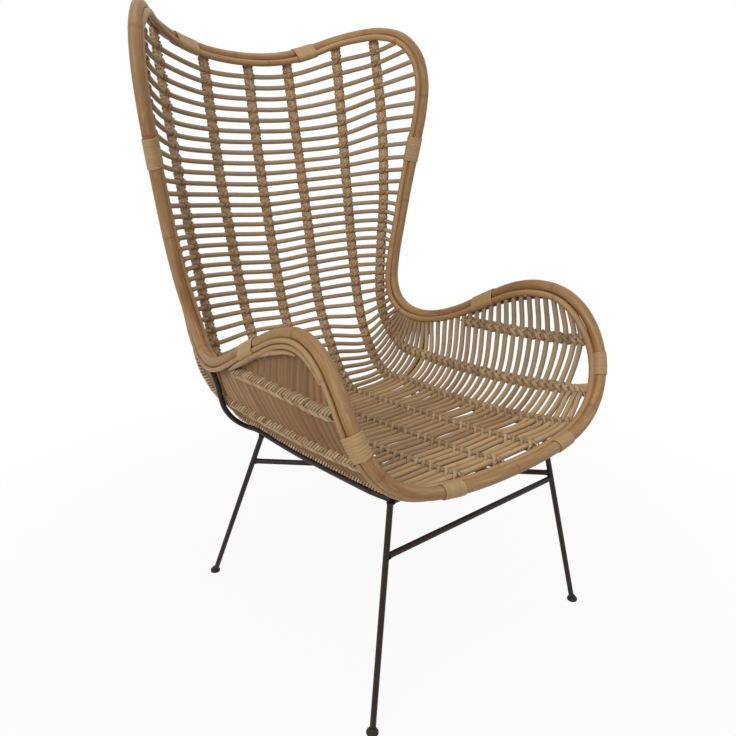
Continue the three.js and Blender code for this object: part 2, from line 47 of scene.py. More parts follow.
# Camera and picture, from the photograph's viewpoint
PICTURE = 736
FOCAL_PIXELS = 687
SENSOR = 36.0
CAMERA_AT = (-0.794, -1.002, 0.888)
CAMERA_LOOKS_AT = (0.0, -0.022, 0.462)

# Stock sizes in millimetres, and the sides that each kind is drawn with
RIM_DIAMETER = 20.8
INNER_DIAMETER = 12.4
OUTER_DIAMETER = 8.4
CANE_DIAMETER = 9.4
ROD_DIAMETER = 10.0
RIM_SIDES = 18
THIN_SIDES = 12
CANE_SIDES = 9
CORE_SIDES = 10
STRAND_SIDES = 5
PEEL_SIDES = 8
ROD_SIDES = 20

# Points along drawn lines: spacing in millimetres, and how many a curve is first sampled at
POLE_STEP = 3.5
CANE_STEP = 7.0
CORE_STEP = 8.0
RAIL_STEP = 7.0
SAMPLES_PER_STATION = 24
SAMPLES_PER_POINT = 16
BAND_SAMPLES = 400
ARM_BAND_SAMPLES = 120
RAIL_LEVELS = 61
RAIL_SAMPLES = 500

# Growth of poles and canes: rings with their spacing, a ridge and a stain on each, a hollow after it,
# a shade for each stretch between rings, and tapered ends
RING_SPACING = 210.0
RING_RIDGE = 0.025
CANE_RING_SPACING = 320.0
CANE_RIDGE = 0.02
CANE_STAIN = 0.5
FIRST_RING = (0.2, 0.9)
RING_SCATTER = (0.75, 1.25)
RIDGE_LENGTH = 3.0
STAIN_LENGTH = 2.4
HOLLOW_LENGTH = 6.0
HOLLOW_AFTER = 9.0
HOLLOW_SHARE = 0.35
POLE_TONE = (0.3, 0.7)
TAPER_TIP = 0.35
TAPER_POWER = 0.6

# Twined bands: a core behind the canes, strands plaited round it and a knot on each cane
CORE_WIDTH = 20.6
CORE_THICKNESS = 9.6
CORE_DEPTH = 2.8
STRAND_WIDTH = 4.4
STRAND_THICKNESS = 3.0
STITCH_PITCH = 7.6
STITCH_SIZE = (0.96, 1.04)
KNOT_WIDTH = 7.6
KNOT_THICKNESS = 1.9
KNOT_TURN = 98.0
KNOT_REACH = 7.0
KNOT_LIFT = 0.9
KNOT_GAP = 0.3
KNOT_SIZE = (0.96, 1.05)
SEAT_KNOT_SIZE = 1.13
KNOT_POINTS = 5
# Kinds of stitch, by the numbers that the band tree tells them apart with
LEFT_STITCH = 1
RIGHT_STITCH = 2
KNOT = 3
# Level at which long bands start, and the part of a band's length that its core takes up
BAND_STARTS = -0.06
CORE_SPAN = (0.0, 0.985)
ARM_CORE_SPAN = (0.02, 0.99)
# Shades from dark at 0 to light at 1: those of strands and knots are a middle and a spread.
# A core darkens between two levels, and knots of the back have a share of red.
CORE_TONE = 0.78
SEAT_CORE_TONE = 0.4
CORE_DARKENS = (3.6, 5.0)
STITCH_TONE = (0.68, 0.17)
BACK_KNOT_TONE = (0.62, 0.12)
SEAT_KNOT_TONE = (0.68, 0.12)
ARM_KNOT_TONE = (0.68, 0.14)
BACK_KNOT_RED = (0.1, 0.7)

# Bindings of split peel: the strip, its shades, and the directions that a taut wrapping is found from
PEEL_WIDTH = 6.2
PEEL_THICKNESS = 1.5
PEEL_PITCH = 4.4
PEEL_GAP = 0.3
PEEL_TONE = (0.4, 0.75)
PEEL_SHADES = 12
WRAP_STEPS = 36
WRAP_FACINGS = 120
LEAST_SLANT = 0.05

# Where poles and cane ends lie beside the rim line: first into the shell, then towards the sitter
ON_RIM = (-1.8, 0.0)
CANE_END_AT = (12.7, 5.8)
OUTER_UPPER_AT = (7.4, -11.7)
OUTER_LOWER_AT = (16.0, -12.0)
# Places that change along the rim, with the station of each. The inner pole sinks beside the wings
# and the front, and the short outer pole comes out from behind the lower one.
INNER_AT = [
    (5.0, 11.0, 11.3), (7.0, 11.0, 4.5), (12.5, 11.0, 4.5), (15.0, 11.0, 11.3),
    (26.0, 11.0, 11.3), (29.0, 10.5, 4.0),
]
OUTER_SHORT_AT = [(19.4, 16.5, -7.5), (20.8, 17.0, -8.0), (22.0, 24.6, -12.0), (23.3, 24.6, -12.0)]

# Rim line on the sitter's right, from the top centre round to the front centre.
# Each station is a point and then the way from it into the shell.
RIM_HALF = [
    (0, 380, 1041, 0, -0.2, -1),
    (-90, 384, 1049, 0, -0.2, -1),
    (-165, 376, 1069, 0.05, -0.2, -1),
    (-207, 354, 1085, 0.1, -0.2, -1),
    (-241, 312, 1096, 0.1, -0.15, -1),
    (-269, 266, 1099, 0.2, -0.05, -1),
    (-293, 224, 1087, 0.4, 0.2, -0.9),
    (-311, 196, 1055, 0.5, 0.4, -0.75),
    (-319, 182, 1005, 0.6, 0.6, -0.4),
    (-316, 182, 938, 0.65, 0.7, -0.1),
    (-305, 191, 860, 0.7, 0.7, 0),
    (-292, 200, 777, 0.75, 0.65, 0),
    (-279, 206, 696, 0.8, 0.5, 0),
    (-266, 208, 625, 0.8, 0.5, -0.1),
    (-256, 201, 569, 0.7, 0.6, -0.3),
    (-254, 181, 530, 0.4, 0.5, -0.8),
    (-259, 150, 507, 0.35, 0.2, -0.9),
    (-267, 108, 500, 0.35, -0.1, -0.95),
    (-275, 60, 508, 0.3, -0.15, -1),
    (-279, 8, 528, 0.15, -0.1, -1),
    (-279, -45, 555, 0.05, 0, -1),
    (-276, -100, 583, 0, 0, -1),
    (-274, -153, 606, -0.05, 0, -1),
    (-275, -203, 616, -0.05, 0, -1),
    (-280, -249, 611, -0.03, 0.1, -1),
    (-284, -285, 592, 0, 0.4, -0.9),
    (-286, -314, 561, 0.05, 0.75, -0.65),
    (-284, -335, 524, 0.15, 0.85, -0.5),
    (-274, -350, 485, 0.35, 0.8, -0.45),
    (-254, -361, 449, 0.4, 0.85, -0.35),
    (-223, -369, 421, 0.35, 0.9, -0.25),
    (-181, -376, 404, 0.2, 0.95, -0.15),
    (-128, -381, 395, 0.1, 1, -0.1),
    (-66, -385, 391, 0, 1, -0.05),
    (0, -386, 390, 0, 1, -0.05),
]

# Twined bands at matching levels, from the top of the back, down it and forward along the seat
BAND_LEVELS = {
    "outer": [
        (-261, 283, 1084), (-270, 266, 940), (-263, 246, 775), (-236, 226, 568), (-238, 207, 474),
        (-237, 142, 424), (-236, 55, 420), (-237, -70, 423), (-241, -205, 432), (-246, -308, 445),
        (-249, -338, 449), (-250, -348, 449),
    ],
    "side": [
        (-209, 351, 1070), (-206, 325, 910), (-201, 302, 768), (-192, 260, 562), (-190, 218, 440),
        (-190, 152, 368), (-190, 62, 368), (-190, -64, 369), (-192, -195, 378), (-198, -302, 391),
        (-201, -345, 402), (-202, -356, 407),
    ],
    "inner": [
        (-99, 380, 1034), (-100, 355, 895), (-100, 328, 761), (-95, 281, 556), (-93, 234, 450),
        (-92, 160, 353), (-91, 70, 350), (-90, -60, 360), (-90, -192, 371), (-91, -300, 383),
        (-91, -350, 391), (-91, -373, 392),
    ],
    "centre": [
        (0, 377, 1026), (0, 358, 892), (0, 332, 756), (0, 281, 550), (0, 238, 450),
        (0, 160, 350), (0, 70, 347), (0, -60, 357), (0, -190, 368), (0, -300, 380),
        (0, -350, 389), (0, -375.5, 390),
    ],
}
BAND_ORDER = ["outer", "side", "inner", "centre"]
LAST_LEVEL = 11
# Rim stations that the canes run out to: level and station
LEVEL_ON_RIM = [
    (0, 5.2), (0.14, 5.87), (0.46, 7.15), (0.77, 8.18), (1, 8.85), (2, 11), (3, 14), (4, 15.6),
    (5, 16.5), (6, 17.5), (7, 20), (8, 22.65), (8.6, 24.3), (9, 25.7), (9.06, 28.7), (10, 29.0),
]
# Short band along the upper arm, with the level of each point
ARM_BAND_AT = [6.65, 6.95, 7.6, 8.2, 8.65, 9.05]
ARM_BAND = [
    (-272, -8, 509), (-271, -46, 512), (-273, -138, 516),
    (-278, -218, 521), (-283, -276, 526), (-284, -308, 531),
]
ARM_BAND_FACES = (1.0, 0.0, 0.2)
# Canes between these levels pass through it
ARM_BAND_FIRST = 6.85
ARM_BAND_LAST = 9.03

# Canes from side to side, wider apart on the back than on the seat: first level and spacing
FIRST_CANE = 20.0
CANE_SPACING = [(0.0, 22.0), (2.05, 20.5), (4.6, 18.0)]
SEAT_STARTS = 4.6
LAST_CANE = 10.0
# Steps between levels, for counting canes and for finding directions
LEVEL_STRIDE = 0.002
LEVEL_STEP = 0.05
# How far canes of the seat wander between two bands, in levels, and close up in pairs beside the side bands
WANDER = 0.014
PAIRED = 0.03
PAIR_SHARE = (0.4, 1.0)
# Shade of canes with its spread and its drift along a cane, and how much thicker they grow between two levels
BACK_CANE_TONE = 0.45
SEAT_CANE_TONE = 0.6
CANE_TONE_SPREAD = 0.16
CANE_TONE_DRIFT = 0.18
SEAT_CANE_SWELL = 1.06
CANES_SWELL = (4.2, 5.2)
# Painted backlit greyish tint of the sitter's side, standing for canes seen against the light: it fades out
# below the back, by level, and grows up the arms, by distance from the middle of the chair. Canes face a
# sitter this far forward.
BACK_GREY_FADES = (3.8, 5.2)
ARM_GREY_GROWS = (215.0, 250.0)
ARM_GREY = 0.9
SITTER_AT = -300.0

# Bindings: rim station, lengths on the sitter's right and left, and the thin poles each one takes in
INNER = (*INNER_AT[0][1:], INNER_DIAMETER / 2)
INNER_ON_WING = (*INNER_AT[1][1:], INNER_DIAMETER / 2)
OUTER_UPPER = (OUTER_UPPER_AT[0], OUTER_UPPER_AT[1], OUTER_DIAMETER / 2)
BINDINGS = {
    "top": (1.66, (50.0, 50.0), [INNER]),
    "wing": (10.0, (50.0, 50.0), [INNER_ON_WING]),
    "arm": (20.4, (46.0, 62.0), [INNER, OUTER_UPPER]),
    "arm_front": (27.7, (37.0, 40.0), [OUTER_UPPER]),
    "front": (31.9, (38.0, 38.0), []),
}
# Rim stations where lengths of pole and panels of canes meet or end, and tapers of the thin outer poles
TOP_JOINT = BINDINGS["top"][0]
WING_JOINT = BINDINGS["wing"][0]
ARM_JOINT = BINDINGS["arm"][0]
FRONT_JOINT = BINDINGS["front"][0]
WAIST_STARTS = 14.5
REAR_SEAT_STARTS = 18.0
OUTER_UPPER_STARTS = 11.0
OUTER_LOWER_STARTS = 19.2
OUTER_LOWER_ENDS = 25.4
OUTER_SHORT_STARTS = 19.4
OUTER_SHORT_ENDS = 23.3
FRONT_CUT = 0.36
UPPER_TAPERS = (60.0, 90.0)
LOWER_TAPERS = (40.0, 60.0)
SHORT_TAPERS = (30.0, 60.0)
NO_TAPERS = (0.0, 0.0)

# Steel frame
FRONT_FOOT = (-261.0, -355.0, 0.0)
FRONT_LEG_TOP = (-186.0, -306.0, 366.0)
REAR_FOOT = (-254.0, 187.0, 0.0)
REAR_LEG_TOP = (-196.0, 54.0, 353.0)
FOOT_HEIGHT = 6.0
STRETCHER_HEIGHT = 278.0
BRACE_HEIGHT = 289.0
CROSS_RAIL_HEIGHT = 362.0
RAIL_UPRIGHT = [
    (-272.5, 86, 483), (-268.5, 88, 470), (-263, 90, 455), (-259.5, 91, 436),
    (-251.5, 94, 407), (-232, 100, 378), (-211, 101, 359), (-201, 95, 352.8),
]
RAIL_REAR_LEVEL = 5.77
RAIL_FRONT_LEVEL = 8.7
RAIL_DEPTH = 15.6
# Weld beads: added share of the rod's thickness, length, and points of a rod near its ends
WELD_BEAD = 0.25
BEAD_LENGTH = 2.6
BEAD_POINTS = [0.0, 1.0, 2.0, 3.0, 4.5, 6.5, 9.0]
# How far rods sink into the legs, and the way that their first side faces
WELD_SINK = 0.6
ROD_FACES = (0.3, 1.0, 0.2)
# Foot glide from the middle of its sole to the middle of its top: radius and height
FOOT_PROFILE = [
    (0.0, 0.0), (8.8, 0.0), (9.7, 0.5), (10.0, 1.4), (10.0, 3.2), (9.6, 4.4), (8.6, 5.2), (7.0, 5.9),
    (6.4, 6.8), (6.2, 8.6), (5.7, 9.6), (0.0, 9.8),
]
FOOT_SIDES = 28

# Studio: lamps are a name, a place, a size and a power
LAMPS = [
    ("key", (-2.9, -1.4, 2.2), 1.8, 66.0),
    ("fill", (2.6, -1.8, 1.6), 2.2, 10.0),
    ("top", (0.5, -0.2, 5.0), 3.5, 72.0),
]
LAMPS_FACE = (0.0, 0.0, 0.55)
SOFT_LIGHT = 0.45
FLOOR_SIZE = 30.0
FLOOR_GREY = (0.62, 0.62, 0.62, 1.0)
WHITE = (1.0, 1.0, 1.0, 1.0)
# Part of the floor's white that takes no shadow near the chair
SHADOW_KEPT = 0.92

# Colours as seen
POLE_LIGHT = "#A68455"
POLE_DARK = "#7E5D38"
POLE_RED = "#86572F"
POLE_SPECK = "#6E4C2E"
# Pale patches scattered at random on poles
POLE_PALE_PATCH = "#BC9B70"
POLE_RING = "#5C3E25"
THIN_LIGHT = "#B29064"
THIN_DARK = "#8B6B43"
THIN_RED = "#966B42"
CANE_LIGHT = "#BA9B70"
CANE_DARK = "#8C7052"
# Painted light: greyish tint of canes seen against the light on their sitter's side
CANE_BACKLIT_GREY = "#9A8E74"
# Painted shade: darker brown on the outer side of canes, away from the sitter
CANE_SHADE_BROWN = "#724A26"
CANE_PATCH = "#8A6342"
CANE_RING = "#5E4630"
STRAND_LIGHT = "#C8AB82"
STRAND_DARK = "#6F5234"
# Painted shade in the grooves between strands
STRAND_GROOVE_SHADE = "#5A3F27"
# Painted shade on the outer side of cores, dark between stitches
STRAND_SHADED_SIDE = "#5E4530"
STRAND_RED = "#A0714A"
PEEL_LIGHT = "#AF9165"
PEEL_DARK = "#8F7048"
PEEL_PATCH = "#8E6C46"
STEEL_BROWN = "#241914"
PLASTIC_BLACK = "#231E1B"
DUSTY_BROWN = "#332722"

# Finishes: roughness of every coat, and how far fibres shift from one shade of strand to the next
COAT_ROUGHNESS = 0.25
FIBRE_SHIFT = 3.7

chance = random.Random(20)


# Curves

class Path:
    """Smooth curve through points; the parameter counts points."""

    def __init__(self, points, closed=False, centripetal=True):
        self.points = np.array(points, dtype=float)
        self.closed = closed
        self.centripetal = centripetal

    def point(self, index):
        count = len(self.points)
        if self.closed:
            return self.points[index % count]
        if index < 0:
            return 2 * self.points[0] - self.points[1]
        if index >= count:
            return 2 * self.points[-1] - self.points[-2]
        return self.points[index]

    def at(self, place):
        base = math.floor(place)
        if not self.closed:
            base = min(max(base, 0), len(self.points) - 2)
        t = place - base
        a, b, c, d = (self.point(base + k) for k in (-1, 0, 1, 2))
        if self.centripetal:
            first, middle, last = (max(math.dist(p, q) ** 0.5, 1e-6) for p, q in ((a, b), (b, c), (c, d)))
            leave = (b - a) / first - (c - a) / (first + middle) + (c - b) / middle
            arrive = (c - b) / middle - (d - b) / (middle + last) + (d - c) / last
            leave = leave * middle
            arrive = arrive * middle
        else:
            leave = (c - a) / 2
            arrive = (d - b) / 2
        square = t * t
        cube = square * t
        return ((2 * cube - 3 * square + 1) * b + (cube - 2 * square + t) * leave
                + (3 * square - 2 * cube) * c + (cube - square) * arrive)


def unit(vector):
    return vector / np.linalg.norm(vector)


def mirrored(points):
    return np.asarray(points, dtype=float) * np.array([-1.0, 1.0, 1.0])


rim_stations = np.array(RIM_HALF, dtype=float)
rim_loop = np.concatenate([rim_stations[:, :3], mirrored(rim_stations[-2:0:-1, :3])])
way_loop = np.concatenate([rim_stations[:, 3:], mirrored(rim_stations[-2:0:-1, 3:])])
rim = Path(rim_loop, closed=True)
ways = Path(way_loop, closed=True)
RIM_COUNT = len(rim_loop)
columns = {name: Path(rows, centripetal=False) for name, rows in BAND_LEVELS.items()}
arm_band = Path(ARM_BAND, centripetal=False)


def square_to(way, along):
    """The part of a direction that is square to another one."""
    return unit(way - along * np.dot(way, along))


def rim_frame(station):
    """Point of the rim with the ways into the shell and towards the sitter."""
    along = unit(rim.at(station + NEARBY) - rim.at(station - NEARBY))
    inward = square_to(ways.at(station), along)
    return rim.at(station), inward, np.cross(along, inward)


def beside_rim(station, place):
    """Point beside the rim at a fixed place, or at one that changes from station to station."""
    point, inward, towards = rim_frame(station)
    if isinstance(place, list):
        rows = np.array(place).T
        near = min(abs(station), RIM_COUNT - station)
        place = (np.interp(near, rows[0], rows[1]), np.interp(near, rows[0], rows[2]))
    return point + inward * place[0] + towards * place[1]


def lengths_along(points):
    """Distance of each point from the first one, along the line."""
    steps = np.linalg.norm(np.diff(points, axis=0), axis=1)
    return np.concatenate([[0.0], np.cumsum(steps)])


def evenly(points, step):
    """The same line with points at even spacing."""
    points = np.asarray(points)
    lengths = lengths_along(points)
    count = max(2, round(lengths[-1] / step) + 1)
    wanted = np.linspace(0.0, lengths[-1], count)
    return np.stack([np.interp(wanted, lengths, points[:, axis]) for axis in range(3)], axis=1)


def along_rim(first, last, place, step):
    count = int(abs(last - first) * SAMPLES_PER_STATION) + 2
    return evenly([beside_rim(station, place) for station in np.linspace(first, last, count)], step)


def on_band(name, level):
    return columns[name].at(min(level, LAST_LEVEL))


def rim_station(level):
    return float(np.interp(level, *np.array(LEVEL_ON_RIM).T))


def arm_band_place(level):
    return float(np.interp(level, ARM_BAND_AT, range(len(ARM_BAND_AT))))


def on_arm_band(level):
    return arm_band.at(arm_band_place(level))


def band_facing(name, level):
    """Ways along a band and from it towards the sitter."""
    at = BAND_ORDER.index(name)
    near = min(max(level, LEVEL_STEP), LAST_LEVEL - LEVEL_STEP)
    along = unit(on_band(name, near + LEVEL_STEP) - on_band(name, near - LEVEL_STEP))
    if at == 0:
        rim_side = beside_rim(rim_station(level), CANE_END_AT)
    else:
        rim_side = on_band(BAND_ORDER[at - 1], level)
    if name == "centre":
        mid_side = mirrored(on_band("inner", level))
    else:
        mid_side = on_band(BAND_ORDER[at + 1], level)
    return along, unit(np.cross(along, mid_side - rim_side))


def on_arm(level):
    return ARM_BAND_FIRST < level < ARM_BAND_LAST


def cane_path(level):
    half = [beside_rim(rim_station(level), CANE_END_AT)]
    if on_arm(level):
        half.append(on_arm_band(level))
    half += [on_band(name, level) for name in ("outer", "side", "inner")]
    control = half + [on_band("centre", level)] + [mirrored(p) for p in reversed(half)]
    path = Path(control)
    places = np.linspace(0, len(control) - 1, SAMPLES_PER_POINT * len(control))
    return [path.at(place) for place in places]


def cane_route(level, pair):
    """Line of a cane; on the seat it wanders a little between the side bands."""
    points = cane_path(level)
    if level < SEAT_STARTS:
        return evenly(points, CANE_STEP)
    ahead = cane_path(min(level + LEVEL_STEP, LAST_CANE))
    behind = cane_path(level - LEVEL_STEP)
    if len(ahead) != len(points) or len(behind) != len(points):
        return evenly(points, CANE_STEP)
    spaces = len(points) // SAMPLES_PER_POINT - 1
    moves = [0.0] * spaces
    middle = spaces // 2
    for space in range(middle - 2, middle + 2):
        moves[space] = chance.gauss(0.0, WANDER)
    for space in (middle - 2, middle + 1):
        moves[space] += pair * chance.uniform(*PAIR_SHARE) * PAIRED
    places = np.linspace(0, spaces, len(points))
    shifts = [moves[min(int(place), spaces - 1)] * math.sin(math.pi * (place % 1.0)) for place in places]
    moved = [p + (a - b) * s / (2 * LEVEL_STEP) for p, a, b, s in zip(points, ahead, behind, shifts)]
    return evenly(moved, CANE_STEP)


def cane_levels():
    """Levels of all canes, by distance along the centre band."""
    levels = []
    travelled = 0.0
    wanted = FIRST_CANE
    before = on_band("centre", 0.0)
    for level in np.arange(LEVEL_STRIDE, LAST_CANE, LEVEL_STRIDE):
        here = on_band("centre", level)
        travelled += math.dist(here, before)
        before = here
        if travelled >= wanted:
            levels.append(float(level))
            wanted += [spacing for first, spacing in CANE_SPACING if first <= level][-1]
    return levels


CANE_LEVELS = cane_levels()


# Node graphs

class Wire:
    """A node's output that takes part in Python arithmetic."""

    def __init__(self, graph, socket):
        self.graph = graph
        self.socket = socket

    def calculate(self, operation, first, second):
        return self.graph.add("ShaderNodeMath", {"operation": operation}, {0: first, 1: second})

    def __add__(self, other):
        return self.calculate("ADD", self, other)

    def __radd__(self, other):
        return self.calculate("ADD", other, self)

    def __sub__(self, other):
        return self.calculate("SUBTRACT", self, other)

    def __rsub__(self, other):
        return self.calculate("SUBTRACT", other, self)

    def __mul__(self, other):
        return self.calculate("MULTIPLY", self, other)


class Graph:
    """A node tree with one way to add any node."""

    def __init__(self, tree):
        self.tree = tree

    def add(self, kind, settings=None, sockets=None, out=0):
        node = self.tree.nodes.new(kind)
        for key, value in (settings or {}).items():
            if key == "stops":
                ramp = node.color_ramp.elements
                while len(ramp) < len(value):
                    ramp.new(0.5)
                for element, (position, colour) in zip(ramp, value):
                    element.position = position
                    element.color = colour
            else:
                setattr(node, key, value)
        for key, value in (sockets or {}).items():
            if isinstance(value, Wire):
                self.tree.links.new(value.socket, node.inputs[key])
            elif isinstance(value, list):
                for wire in value:
                    self.tree.links.new(wire.socket, node.inputs[key])
            else:
                node.inputs[key].default_value = value
        return Wire(self, node.outputs[out]) if len(node.outputs) else node


def paint(code):
    """Linear colour of a written one."""
    parts = [int(code[k:k + 2], 16) / 255 for k in (1, 3, 5)]
    linear = [p / 12.92 if p <= 0.04045 else ((p + 0.055) / 1.055) ** 2.4 for p in parts]
    return (*linear, 1.0)


def new_material(name):
    material = bpy.data.materials.new(name)
    material.use_nodes = True
    material.node_tree.nodes.clear()
    return material, Graph(material.node_tree)


def attribute(graph, name, out=2):
    return graph.add("ShaderNodeAttribute", {"attribute_name": name}, out=out)


def mix(graph, factor, first, second):
    return graph.add("ShaderNodeMix", {"data_type": "RGBA"}, {0: factor, 6: first, 7: second}, out=2)


def ramp(graph, value, stops):
    grey = [(position, (level, level, level, 1.0)) for position, level in stops]
    return graph.add("ShaderNodeValToRGB", {"stops": grey}, {"Fac": value})


def tint(graph, colour, value, low, high, most, code):
    """Mixes another colour in where a value is high: none of it at low, the most of it at high."""
    return mix(graph, ramp(graph, value, [(low, 0.0), (high, most)]), colour, paint(code))


def noise(graph, vector, scale, detail=2.0):
    return graph.add("ShaderNodeTexNoise", {}, {"Vector": vector, "Scale": scale, "Detail": detail})


def ring_part(graph, axis):
    """Place round a strand: axis 0 points to where the strand faces, axis 1 across it."""
    return graph.add("ShaderNodeSeparateXYZ", {}, {0: attribute(graph, "ring", 1)}, out=axis)


def fibre_vector(graph, radius, stretch):
    """Coordinates round a strand and along it, shifted by its shade so that strands differ."""
    shift = attribute(graph, "tone") * FIBRE_SHIFT
    parts = {
        0: ring_part(graph, 0) * radius + shift,
        1: ring_part(graph, 1) * radius,
        2: attribute(graph, "along") * stretch + shift,
    }
    return graph.add("ShaderNodeCombineXYZ", {}, parts)


def close_material(graph, colour, roughness, height, strength, distance, coat=0.0, specular=0.3):
    normal = graph.add("ShaderNodeBump", {}, {"Strength": strength, "Distance": distance, "Height": height})
    shader = graph.add(
        "ShaderNodeBsdfPrincipled", {},
        {"Base Color": colour, "Roughness": roughness, "Normal": normal, "Coat Weight": coat,
         "Coat Roughness": COAT_ROUGHNESS, "Specular IOR Level": specular},
    )
    graph.add("ShaderNodeOutputMaterial", {}, {"Surface": shader})


def pole_finish(name, light, dark, red):
    """Lacquered rattan pole: long fibres, redder stretches, specks, pale patches and dark growth rings."""
    material, graph = new_material(name)
    fine = noise(graph, fibre_vector(graph, radius=5.0, stretch=9.0), scale=3.0, detail=4.0)
    broad = noise(graph, fibre_vector(graph, radius=0.7, stretch=5.0), scale=1.4)
    speck = noise(graph, fibre_vector(graph, radius=2.0, stretch=60.0), scale=3.0, detail=3.0)
    # Pale patches scattered at random along the pole
    pale_patches = noise(graph, fibre_vector(graph, radius=1.6, stretch=14.0), scale=2.2, detail=4.0)
    joint = attribute(graph, "joint")
    shade = fine * 0.6 + attribute(graph, "tone") * 0.5 - 0.05
    colour = tint(graph, paint(dark), shade, low=0.25, high=0.75, most=1.0, code=light)
    colour = tint(graph, colour, broad, low=0.4, high=0.64, most=0.8, code=red)
    colour = tint(graph, colour, speck, low=0.62, high=0.78, most=0.35, code=POLE_SPECK)
    colour = tint(graph, colour, pale_patches, low=0.56, high=0.74, most=0.55, code=POLE_PALE_PATCH)
    colour = mix(graph, joint * 0.45, colour, paint(POLE_RING))
    height = fine * 0.6 + joint * 0.8
    roughness = 0.42 + fine * 0.22
    close_material(graph, colour, roughness, height, strength=0.25, distance=0.0006, coat=0.05, specular=0.35)
    return material


def cane_finish(name, light, dark):
    """Dry cane: painted backlit greyish tint on the sitter's side, painted shade in brown on the outer side,
    with its own shade.
    """
    material, graph = new_material(name)
    fine = noise(graph, fibre_vector(graph, radius=4.0, stretch=12.0), scale=3.0, detail=4.0)
    broad = noise(graph, fibre_vector(graph, radius=0.6, stretch=7.0), scale=1.5)
    # Mask of each cane's outer side, which takes painted shade
    outside = ramp(graph, ring_part(graph, 0) * 0.5 + 0.5, [(0.45, 1.0), (0.78, 0.0)])
    shade = fine * 0.45 + attribute(graph, "tone") * 0.85 - 0.15
    colour = tint(graph, paint(dark), shade, low=0.15, high=0.85, most=1.0, code=light)
    # Painted backlit greyish tint on the sitter's side of canes
    colour = mix(graph, attribute(graph, "grey") * (0.55 - outside * 0.55), colour, paint(CANE_BACKLIT_GREY))
    # Painted shade in brown on the outer side of each cane
    colour = mix(graph, outside * 0.7, colour, paint(CANE_SHADE_BROWN))
    colour = tint(graph, colour, broad, low=0.5, high=0.75, most=0.45, code=CANE_PATCH)
    colour = mix(graph, attribute(graph, "joint") * 0.55, colour, paint(CANE_RING))
    close_material(graph, colour, 0.55 + fine * 0.2, fine, strength=0.3, distance=0.0005)
    return material


def strand_finish(name, light, dark):
    """Twined core strands: straw with browner ones, three grooved strands to a ribbon with painted shade in
    the grooves, painted shade on a core's outer side, redder knots.
    """
    material, graph = new_material(name)
    fine = noise(graph, fibre_vector(graph, radius=3.0, stretch=60.0), scale=3.0, detail=3.0)
    strands = graph.add("ShaderNodeMath", {"operation": "COSINE"}, {0: ring_part(graph, 1) * (3 * math.pi)})
    groove = ramp(graph, strands, [(0.0, 0.0), (0.35, 1.0)])
    # Painted shade on a core's outer side, dark in the gaps between stitches; the core's line switches it on
    shaded_side = attribute(graph, "grey") * ramp(graph, ring_part(graph, 0) + 0.5, [(0.15, 1.0), (0.45, 0.0)])
    shade = fine * 0.35 + attribute(graph, "tone") * 0.9 - 0.1
    colour = tint(graph, paint(dark), shade, low=0.1, high=0.9, most=1.0, code=light)
    # Painted shade in the grooves between the three strands of a ribbon
    colour = mix(graph, (1.0 - groove) * 0.3, colour, paint(STRAND_GROOVE_SHADE))
    colour = mix(graph, shaded_side, colour, paint(STRAND_SHADED_SIDE))
    colour = mix(graph, attribute(graph, "joint"), colour, paint(STRAND_RED))
    close_material(graph, colour, 0.6 + fine * 0.2, fine * 0.4 + strands * 0.5, strength=0.5, distance=0.0006)
    return material


def peel_finish(name, light, dark):
    """Split peel: pale and smooth with straight lines along the strip."""
    material, graph = new_material(name)
    fine = noise(graph, fibre_vector(graph, radius=7.0, stretch=6.0), scale=3.0, detail=4.0)
    broad = noise(graph, fibre_vector(graph, radius=0.5, stretch=14.0), scale=1.5)
    shade = fine * 0.5 + attribute(graph, "tone") * 0.6
    colour = tint(graph, paint(dark), shade, low=0.2, high=0.85, most=1.0, code=light)
    colour = tint(graph, colour, broad, low=0.5, high=0.8, most=0.5, code=PEEL_PATCH)
    roughness = 0.45 + fine * 0.25
    close_material(graph, colour, roughness, fine, strength=0.25, distance=0.0005, coat=0.04, specular=0.35)
    return material


def coated_finish(name, code, shine):
    """Powder coat or moulded plastic: fine pebbled skin, a little dusty."""
    material, graph = new_material(name)
    place = graph.add("ShaderNodeTexCoord", out=3)
    pebble = noise(graph, place, scale=900.0)
    cloud = noise(graph, place, scale=18.0, detail=3.0)
    colour = tint(graph, paint(code), cloud, low=0.45, high=0.8, most=0.35, code=DUSTY_BROWN)
    close_material(graph, colour, shine + cloud * 0.15, pebble, strength=0.2, distance=0.0004, specular=0.25)
    return material


rim_material = pole_finish("rim_pole_lacquered", POLE_LIGHT, POLE_DARK, POLE_RED)
thin_material = pole_finish("thin_pole_lacquered", THIN_LIGHT, THIN_DARK, THIN_RED)
cane_material = cane_finish("cane_dry", CANE_LIGHT, CANE_DARK)
strand_material = strand_finish("twined_strand", STRAND_LIGHT, STRAND_DARK)
peel_material = peel_finish("split_peel", PEEL_LIGHT, PEEL_DARK)
steel_material = coated_finish("powder_coated_rod", STEEL_BROWN, shine=0.42)
plastic_material = coated_finish("moulded_foot", PLASTIC_BLACK, shine=0.5)


# Geometry trees

def new_geometry_tree(name, inputs):
    tree = bpy.data.node_groups.new(name, "GeometryNodeTree")
    tree.interface.new_socket("Geometry", in_out="INPUT", socket_type="NodeSocketGeometry")
    sockets = {}
    for label, kind in inputs:
        sockets[label] = tree.interface.new_socket(label, in_out="INPUT", socket_type=kind).identifier
    tree.interface.new_socket("Geometry", in_out="OUTPUT", socket_type="NodeSocketGeometry")
    graph = Graph(tree)
    entry = tree.nodes.new("NodeGroupInput")
    wires = {socket.name: Wire(graph, socket) for socket in entry.outputs if socket.name}
    return tree, graph, wires, sockets


def named(graph, name, kind):
    return graph.add("GeometryNodeInputNamedAttribute", {"data_type": kind}, {"Name": name})


